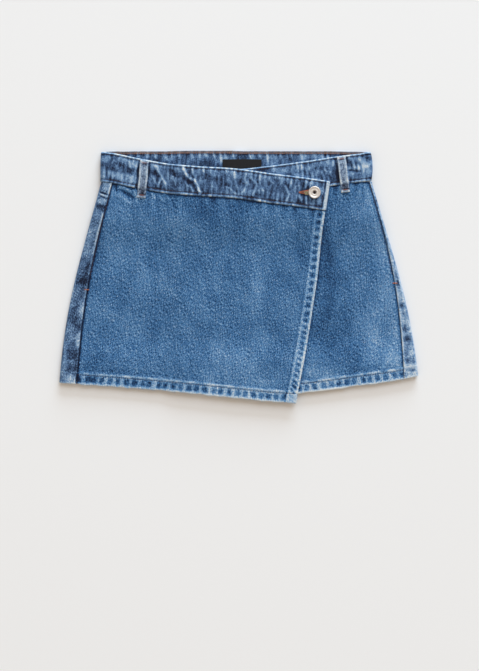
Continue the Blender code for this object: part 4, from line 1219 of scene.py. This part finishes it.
def band_look(x, y, across, to_edge, walked, stretch, from_end):
    """The tone and relief of the waistband's outer face, and the tone of its inner face. The
    outer face is the sum of a fine net of creases, the creases, patches and streaks of each
    stretch, among them painted shadows beside the front belt loops, short creases that hang
    from the stitches, worn edges, grooves at the stitches and a pale end."""
    over, back, under = ease(0.5, 0.49, stretch), hump(stretch - 1.0, 0.2), ease(1.5, 1.51, stretch)
    inset = np.where(across > 0.0, STITCH_INSET, FOOT_INSET)
    net = hump(blotch(walked / MM, 0.8 * across, 7.5, 71), 0.20)
    fine = blotch(walked / MM, 0.5 * across, 3.2, 72)
    broad = blotch(walked / MM, across, 15.0, 73)
    uneven = 1.0 + 0.22 * blotch(walked / MM, across, 3.0, 74)
    tone = BAND_TONE + 0.10 * net + 0.070 * fine + 0.06 * broad
    relief = 0.12 * net + 0.06 * fine
    for shown, creases, patches, streaks in (
            (over, OVERLAP_BAND_CREASES_AND_SHADOWS, OVERLAP_BAND_PATCHES, OVERLAP_BAND_STREAKS),
            (under, UNDERLAP_BAND_CREASES_AND_SHADOWS, UNDERLAP_BAND_PATCHES, UNDERLAP_BAND_STREAKS)):
        height, crease_tone = creases_at(x, y, creases)
        tone = tone + shown * (crease_tone + patches_at(x, y, patches) + streaks_at(x, across, streaks))
        relief = relief + shown * height / MM
    inner = HALF_BAND - STITCH_INSET - 1.0
    hanging = 0.0
    for shown, centres, way, lean, seed in (
            (over, OVERLAP_BAND_TICKS, 1, 0.15, 75), (over, OVERLAP_BAND_FOOT_TICKS, -1, -0.1, 76),
            (under, UNDERLAP_BAND_TICKS, 1, 0.2, 77), (back + under, np.arange(-180, 180, 11.0), -1, 0.1, 78),
            (back, np.arange(-176, 180, 12.0), 1, 0.1, 79)):
        hanging = hanging + shown * ticks(x, across, centres, way * inner, 5.0, lean, seed)
    tone = tone + 0.28 * hanging
    relief = relief + 0.20 * hanging
    rightwards = ease(-0.03, 0.03, x)
    foot_worn, top_worn = mix(0.13, 0.20, rightwards) * uneven ** 2, mix(0.37, 0.34, rightwards) * uneven
    worn = mix(foot_worn, top_worn, across > 0.0)
    tone = tone + worn * (1.0 - 0.5 * back) * hump(to_edge - mix(0.9, 0.75, across > 0.0), 1.35)
    tone = tone - 0.22 * hump(to_edge - inset, 1.2)
    relief = relief + 0.22 * hump(to_edge - 1.3, 1.2) - 0.28 * hump(to_edge - inset, 1.1)
    end = ease(END_WORN, END_WORN - 1.2, from_end)
    tone = mix(tone, 0.79 + 0.04 * fine, 0.95 * end) - 0.26 * hump(from_end - END_WORN - 0.9, 1.1)
    relief = relief * (1.0 - end) + 0.25 * end - 0.25 * hump(from_end - END_WORN - 0.6, 1.0)
    inside_hanging = ticks(x, across, INSIDE_TICKS, inner, 9.0, 0.25, 80, 1.5)
    inside = INSIDE_TONE + 0.05 * fine + 0.06 * broad + 0.46 * inside_hanging
    inside = inside + 0.04 * net - 0.14 * hump(to_edge - 4.7, 1.1) * (across > 0.0)
    inside = inside + 0.04 * ease(0.0, 0.06, x)
    return tone, relief * MM, inside


def waistband(material):
    """The band by places along it and across it: each place is moved square to the line across
    its face, and out by half the thickness, drawn together at the long edges and the two ends."""
    line, stretch = band_route()
    step = np.gradient(line, axis=0)
    run = step / np.linalg.norm(step, axis=1, keepdims=True)
    upwards = np.array([0.0, 1.0, 0.0]) - run[:, 1:2] * run
    upwards /= np.linalg.norm(upwards, axis=1, keepdims=True)
    outwards = np.cross(upwards, run)
    walked = np.concatenate([[0.0], np.cumsum(np.linalg.norm(np.diff(line, axis=0), axis=1))])
    from_start, from_last = walked[:, None], (walked[-1] - walked)[:, None]
    part, x_at = stretch[:, None], line[:, :1]
    half = HALF_BAND
    across = places(-half, (0.5 - half, 0.12), (5.0 - half, 0.60), (half - 5.0, 0.95), (half - 0.5, 0.60),
                    (half, 0.12))
    near_end = np.minimum(from_start, from_last) / MM
    bowed = mix(1.9, 2.9, across > 0.0) * (across / half) ** 2 * ease(0.168, BAND_FOLD_RIGHT, x_at)
    bowed = bowed - (across > 0.0) * (across / half) ** 2 * ease(-0.180, BAND_FOLD_LEFT, x_at)
    in_corner = np.maximum(BAND_CORNER - near_end, 0.0)
    drawn_in = BAND_CORNER - np.sqrt(np.maximum(BAND_CORNER ** 2 - in_corner ** 2, 0.0))
    over_top, back_top, under_top = (top_edge(name, x_at) for name in ("over", "back", "under"))
    top = np.where(part < 0.75, over_top, np.where(part < 1.25, back_top, under_top))
    foot = half + BAND_FOOT_OUT * np.where(part < 0.75, 1.0, ease(-0.150, -0.185, x_at) * (part < 1.25))
    reach = np.where(across > 0.0, top, foot)
    placed = across * (reach - drawn_in) / half
    centre = line[:, None, :] + placed[..., None] * MM * upwards[:, None, :]
    centre[..., 0] -= bowed * MM
    from_edge = np.minimum(half - abs(across), near_end) * MM
    tone, relief, inside = band_look(centre[..., 0], centre[..., 1], placed, reach - abs(placed),
                                     walked[:, None], part, from_start / MM)
    thick = 0.5 * BAND_THICKNESS * rim(from_edge, BAND_THICKNESS)
    still = hump(part - 0.5, 0.1) + hump(part - 1.5, 0.1)
    relief = relief * (1.0 - still) * ease(0.0, 1.0, near_end)
    outer = centre + (thick + relief)[..., None] * outwards[:, None, :]
    inner = centre - thick[..., None] * outwards[:, None, :]
    weave = np.stack(np.broadcast_arrays(walked[:, None], placed * MM), axis=-1)
    return shell("waistband", outer, inner, weave, tone, material, inside)


def band_line(band, across, first, last, z, count=160):
    """Points on the band's face between two places. How far across it they lie, in millimetres,
    and their height may each be a number or a function of x."""
    x = np.linspace(first, last, count)
    across, z = (value(x) if callable(value) else 0.0 * x + value for value in (across, z))
    slope = slope_at(band, x)
    lean = np.hypot(1.0, slope)
    return np.stack([x - across * MM * slope / lean, along(band, x) + across * MM / lean, z], axis=-1)


def over_z(x):
    """The height of stitches on the overlap's run of the waistband."""
    return over_band_z(x) + 0.5 * BAND_THICKNESS - BAND_STITCH_SUNK


def inside_line(inset, rise, count=160):
    """A line on the inside of the back, at a distance below its top edge."""
    inner_z = BACK_BAND_Z + 0.5 * BAND_THICKNESS + rise
    return band_line(BACK_BAND, lambda x: top_edge("back", x) - inset, *BACK_ROW, inner_z, count)


BAND_DENIM = denim("denim_band", 0.65, 0.11, WEAVE_RELIEF)
BAND_THREAD = thread("band_thread", (84, 68, 70))
EDGE_THREAD = thread("edge_thread", (150, 114, 98))
FUZZ_THREAD = thread("fuzz_thread", (120, 106, 98))
band = waistband(BAND_DENIM)
under_z = UNDER_BAND_Z + 0.5 * BAND_THICKNESS - BAND_STITCH_SUNK
foot_at = FOOT_INSET - HALF_BAND
rows = [row_of(band_line(*line)) for line in (
    (OVERLAP_BAND, lambda x: top_edge("over", x) - STITCH_INSET, *OVER_ROW, over_z),
    (OVERLAP_BAND, foot_at - BAND_FOOT_OUT, *OVER_ROW, over_z),
    (UNDERLAP_BAND, lambda x: top_edge("under", x) - STITCH_INSET, *UNDER_ROW, under_z),
    (UNDERLAP_BAND, foot_at, *UNDER_ROW, under_z),
)]
end_foot, end_head = (band_line(OVERLAP_BAND, across, 0.1150, 0.1151, over_z, 2)[0]
                      for across in (foot_at - BAND_FOOT_OUT, top_edge("over", 0.115) - STITCH_INSET))
rows.append(row_of([end_foot, end_head]))
band_sewn = stitching("waistband_stitches", rows, BAND_THREAD, "denim")
rows = [row_of(inside_line(inset, 0.0001), 2.9 * MM, 2.8 * MM) for inset in (3.4, 2.5)]
band_edge_sewn = stitching("waistband_edge_stitches", rows, EDGE_THREAD, "denim",
                           radius=EDGE_THREAD_RADIUS)
overcast = np.stack([inside_line(2.9, 0.00005, 420), inside_line(-0.15, -0.0002, 420)])
band_overcast = stitching("waistband_overcast", [overcast], FUZZ_THREAD, "denim",
                          radius=FUZZ_THREAD_RADIUS)
rows = [row_of(band_line(BACK_BAND, way * (HALF_BAND - STITCH_INSET), *BACK_ROW,
                         BACK_BAND_Z - 0.5 * BAND_THICKNESS)) for way in (1, -1)]
band_sewn_under = stitching("waistband_stitches_under", rows, BAND_THREAD, "denim", up=-1.0)
stand_for(band, "denim", "waistband")

# ---------------------------------------------------------------------------------------
# Belt loops: narrow folded strips of denim with two worn ridges, tacked over the waistband's
# edges. The front ones drop past the band to the panel; the back ones lie underneath.
Loop = namedtuple("Loop", "name top_x top_y bottom_x bottom_y underneath")
LOOPS = (
    Loop("belt_loop_front_left", -0.1291, 0.1593, -0.1332, 0.1083, False),
    Loop("belt_loop_front_right", 0.1404, 0.1650, 0.1464, 0.1157, False),
    Loop("belt_loop_back_left", -0.1155, 0.1715, -0.1155, 0.1210, True),
    Loop("belt_loop_back_centre", 0.0030, 0.1715, 0.0030, 0.1210, True),
    Loop("belt_loop_back_right", 0.1386, 0.1715, 0.1386, 0.1210, True),
)
LOOP_WIDTH = 0.0120
LOOP_THICKNESS = 0.0014
LOOP_TACK = 0.0035
LOOP_RISE = 0.0006
LOOP_DROP = 0.0007
LOOP_TONE = 0.455
LOOP_STITCH_SUNK = 0.0001
LOOP_THREAD_RADIUS = 0.0003
LOOP_BAR = (0.0029, 0.0007)


def loop_rise(distance, underneath):
    """How far a loop stands off the waistband: up in its middle, down where it meets the panel."""
    if underneath:
        return 0.0 * distance
    up = LOOP_RISE * np.sin(math.pi * np.clip((distance - LOOP_TACK) / (BAND_HEIGHT - LOOP_TACK), 0.0, 1.0))
    return up - LOOP_DROP * ease(BAND_HEIGHT - LOOP_TACK, BAND_HEIGHT + LOOP_TACK, distance)


def belt_loop(row, seed, material):
    """A strip by distance down it and across it, with a ridge by each edge and a dip between."""
    top, bottom = np.array((row.top_x, row.top_y)), np.array((row.bottom_x, row.bottom_y))
    length = np.linalg.norm(bottom - top)
    run = (bottom - top) / length
    side = np.array((-run[1], run[0]))
    down = (places(0.0, (0.4, 0.13), (1.2, 0.4), (length / MM - 1.2, 0.9), (length / MM - 0.4, 0.4),
                   (length / MM, 0.13)) * MM)[:, None]
    half = 0.5 * LOOP_WIDTH / MM
    across = places(-half, (0.5 - half, 0.12), (half - 0.5, 0.75), (half, 0.12))
    base = 0.0 if row.underneath else UNDER_BAND_Z + 0.5 * BAND_THICKNESS + SEAM_GAP
    middle = base + 0.5 * LOOP_THICKNESS + loop_rise(down, row.underneath)
    from_end = np.minimum(down, length - down) / MM
    wander = 0.18 * blotch(down / MM, 0.0, 9.0, seed) * (0.0 if row.underneath else 1.0)
    from_edge = np.minimum(half - abs(across), from_end) * MM
    thick = 0.5 * LOOP_THICKNESS * rim(from_edge, LOOP_THICKNESS)
    ridge = hump(abs(across) - half + 1.3, 1.2)
    dip = hump(across, 2.4)
    tone = LOOP_TONE + 0.24 * ridge - 0.05 * dip + 0.15 * hump(from_end, 3.0)
    tone = tone + 0.05 * blotch(down / MM, across, 3.0, seed + 1)
    tone = tone + 0.04 * blotch(down / MM, across, 9.0, seed + 2)
    past_band = ease(BAND_HEIGHT / MM - 2.0, BAND_HEIGHT / MM + 2.0, down / MM)
    tone = tone - 0.22 * past_band * ease(2.0, 5.0, from_end)
    tone = tone - 0.25 * hump(from_end - LOOP_TACK / MM - 1.0, 1.0)
    relief = (0.12 * ridge - 0.12 * dip - 0.15 * hump(from_end - LOOP_TACK / MM, 1.2)) * MM
    way = -1.0 if row.underneath else 1.0
    x = top[0] + run[0] * down + side[0] * (across + wander) * MM
    y = top[1] + run[1] * down + side[1] * (across + wander) * MM
    above, below = (0.0, np.minimum(relief, 0.0)) if row.underneath else (relief, 0.0)
    upper, lower = (np.stack([x, y, z], axis=-1) for z in (middle + thick + above, middle - thick - below))
    weave = np.stack(np.broadcast_arrays(across * MM + seed, down), axis=-1)
    piece = shell(row.name, upper, lower, weave, tone, material)
    spots = []
    for distance in (LOOP_TACK, length - LOOP_TACK):
        centre = top + run * distance
        height = base + (0.0 if row.underneath else LOOP_THICKNESS)
        height = height + float(loop_rise(distance, row.underneath)) - way * LOOP_STITCH_SUNK
        half_length, half_width = side * LOOP_BAR[0], run * LOOP_BAR[1]
        spots.append(bar_of((*centre, height), (*half_length, 0.0), (*half_width, 0.0)))
    sewn = stitching(row.name.replace("belt_loop", "loop_tacks"), spots, LOOP_THREAD, "denim_loops", way,
                     LOOP_THREAD_RADIUS)
    stand_for(piece, "denim_loops", row.name)


LOOP_DENIM = denim("denim_loops", 0.9, 0.34, 0.0002)
LOOP_THREAD = thread("loop_thread", (152, 98, 86))
for seed, row in enumerate(LOOPS):
    belt_loop(row, 90 + 5 * seed, LOOP_DENIM)

# ---------------------------------------------------------------------------------------
# The label: a plain black woven tape with no text, flat on the inside of the waistband's
# back, with its long edges bowed up a little.
LABEL_X, LABEL_Y = 0.0045, 0.1535
LABEL_WIDTH, LABEL_HEIGHT, LABEL_THICKNESS = 0.0534, 0.0150, 0.0010
LABEL_RIB = 0.0005


def woven_black():
    """Black satin tape: fine ribs across it as relief, and a slightly uneven black."""
    material, nodes, link, shader = material_of("label_black", 0.75, 0.12)
    where = node_of(nodes, "TexCoord").outputs["Object"]
    mottle(nodes, link, shader, where, 900.0, (0.007, 0.0065, 0.007), (0.030, 0.028, 0.028))
    emboss(nodes, link, shader, ribs(nodes, link, where, WAVE_PERIOD / LABEL_RIB, "Y"), 0.00008)
    return material


def label(material):
    """A tape by places across and up, its long edges bowed up a little towards its middle."""
    u = places(-0.5, (-0.49, 0.003), (0.49, 0.02), (0.5, 0.003))
    v = places(-0.5, (-0.46, 0.015), (0.46, 0.06), (0.5, 0.015))[:, None]
    x = LABEL_X + u * LABEL_WIDTH + 0.0 * v
    y = LABEL_Y + v * LABEL_HEIGHT + 0.0004 * np.cos(math.pi * u) * (v > 0)
    from_edge = np.minimum((0.5 - abs(u)) * LABEL_WIDTH, (0.5 - abs(v)) * LABEL_HEIGHT)
    thick = 0.5 * LABEL_THICKNESS * rim(from_edge, LABEL_THICKNESS)
    middle = BACK_BAND_Z + 0.5 * BAND_THICKNESS + SEAM_GAP + 0.5 * LABEL_THICKNESS
    return slab("label", x, y, middle, thick, 0.0 * x, material)


LABEL_BLACK = woven_black()
tape = label(LABEL_BLACK)
stand_for(tape, "label", "label")

# ---------------------------------------------------------------------------------------
# The button: a ring-shaped cap of pale copper on the overlap's band, held by a tack from the
# underlap, in a keyhole buttonhole with a close purl of rust thread.
BUTTON_X, BUTTON_Y = 0.1036, 0.1153
BUTTONHOLE_REACH = 0.0212
PURL_RADIUS = 0.00027
CAP_FOOT = OVER_BAND_Z + 0.5 * BAND_THICKNESS + SEAM_GAP
Turn = namedtuple("Turn", "radius height")
CAP_PROFILE = [Turn(*row) for row in (
    (0.0022, 0.0), (0.0022, 0.0004), (0.0027, 0.0004), (0.0029, 0.0008), (0.0029, 0.0015), (0.0031, 0.0019),
    (0.0035, 0.0021), (0.004, 0.002), (0.0046, 0.0019), (0.0054, 0.0019), (0.006, 0.002), (0.0066, 0.0024),
    (0.0071, 0.0026), (0.0076, 0.0026), (0.0081, 0.0023), (0.0084, 0.0018), (0.0085, 0.0012),
    (0.0084, 0.0006), (0.008, 0.0001), (0.0076, 0.0),
)]
STEM_RADIUS, STEM_TIP = 0.0019, 0.0006
TACK_RADIUS, TACK_THICKNESS = 0.0044, 0.0009


def pale_copper(name, pale, dark, roughness):
    """Plated metal worn along its ridges: noise moves the colour and the roughness a little."""
    material, nodes, link, shader = material_of(name, roughness, 0.5)
    shader.inputs["Metallic"].default_value = 0.75
    where = node_of(nodes, "TexCoord").outputs["Object"]
    wear = mottle(nodes, link, shader, where, 420.0, dark, pale, (0.3, 0.7), 3.0)
    rough = node_of(nodes, "MapRange", {"To Min": roughness - 0.08, "To Max": roughness + 0.12})
    link(wear, rough.inputs["Value"])
    link(rough.outputs["Result"], shader.inputs["Roughness"])
    emboss(nodes, link, shader, wear, 0.00006)
    return material


def turned(name, profile, ring, material):
    """A round solid: its profile carried round the button's axis in even steps. A profile that
    isn't a closed ring starts and ends on the axis."""
    steps = 64
    radius, height = np.array(profile).T
    angle = np.linspace(0.0, 2 * math.pi, steps, endpoint=False)[:, None]
    if not ring:
        radius, height = radius[1:-1], height[1:-1]
    points = np.stack(np.broadcast_arrays(
        BUTTON_X + radius * np.cos(angle), BUTTON_Y + radius * np.sin(angle), height), axis=-1)
    count = len(radius)
    at = np.arange(steps * count).reshape(steps, count)
    following = np.roll(at, -1, axis=0)
    beside = np.roll(at, -1, axis=1)
    stop = count if ring else count - 1
    faces = np.stack([at, following, np.roll(following, -1, axis=1), beside], axis=-1)
    faces = faces[:, :stop].reshape(-1, 4).tolist()
    points = points.reshape(-1, 3)
    if not ring:
        ends = [(BUTTON_X, BUTTON_Y, profile[0][1]), (BUTTON_X, BUTTON_Y, profile[-1][1])]
        points = np.concatenate([points, ends])
        faces += np.stack([following[:, 0], at[:, 0], np.full(steps, at.size)], axis=-1).tolist()
        faces += np.stack([at[:, -1], following[:, -1], np.full(steps, at.size + 1)], axis=-1).tolist()
    mesh = bpy.data.meshes.new(name)
    mesh.from_pydata(points, [], faces)
    piece = piece_of(name, mesh, material)
    mesh.set_sharp_from_angle(angle=math.radians(50))
    stand_for(piece, "button", name)


def purl(first, last, way, inner, outer):
    """The buttonhole's stitches on one side of it, close together and square to its line. They
    run from a share of the way to the button to another, and each spans from inner to outer,
    which are each (at the point, at the button) in millimetres."""
    share = np.linspace(first, last, max(2, round(44 * (last - first))))[:, None]
    centre = np.array((BUTTON_X, BUTTON_Y, OVER_BAND_Z + 0.5 * BAND_THICKNESS + 0.0002))
    spine = centre - BUTTONHOLE_REACH * (1.0 - 0.68 * share) * np.array((1.0, 0.0, 0.0))
    sideways = way * MM * np.array((0.0, 1.0, 0.0))
    return np.stack([spine + mix(*inner, share) * sideways, spine + mix(*outer, share) * sideways])


HOLE_THREAD = thread("hole_thread", (164, 100, 76))
EYE_THREAD = thread("eye_thread", (158, 148, 118))
CAP_METAL = pale_copper("button_cap_metal", (0.70, 0.62, 0.54), (0.52, 0.44, 0.38), 0.46)
TACK_METAL = pale_copper("button_tack_metal", (0.050, 0.026, 0.018), (0.018, 0.010, 0.008), 0.5)
turned("button_cap", [(row.radius, CAP_FOOT + row.height) for row in CAP_PROFILE], True, CAP_METAL)
tack_top = UNDER.waist - DENIM - SEAM_GAP
turned("button_tack", [(0.0, tack_top - TACK_THICKNESS), (TACK_RADIUS, tack_top - TACK_THICKNESS),
                       (TACK_RADIUS, tack_top), (STEM_RADIUS, tack_top), (STEM_RADIUS, CAP_FOOT + STEM_TIP),
                       (0.0, CAP_FOOT + STEM_TIP)], False, TACK_METAL)
rust_rows = [purl(0.0, 1.0, 1.0, (-0.3, 1.7), (1.2, 4.0)), purl(0.0, 0.55, -1.0, (-0.2, 0.6), (1.1, 3.2))]
stitching("buttonhole_purl", rust_rows, HOLE_THREAD, "denim", radius=PURL_RADIUS)
pale_rows = [purl(0.5, 0.94, 1.0, (-1.4, -0.6), (1.0, 1.6)), purl(0.56, 1.0, -1.0, (0.6, 1.4), (2.8, 3.8))]
stitching("buttonhole_eye", pale_rows, EYE_THREAD, "denim", radius=PURL_RADIUS)
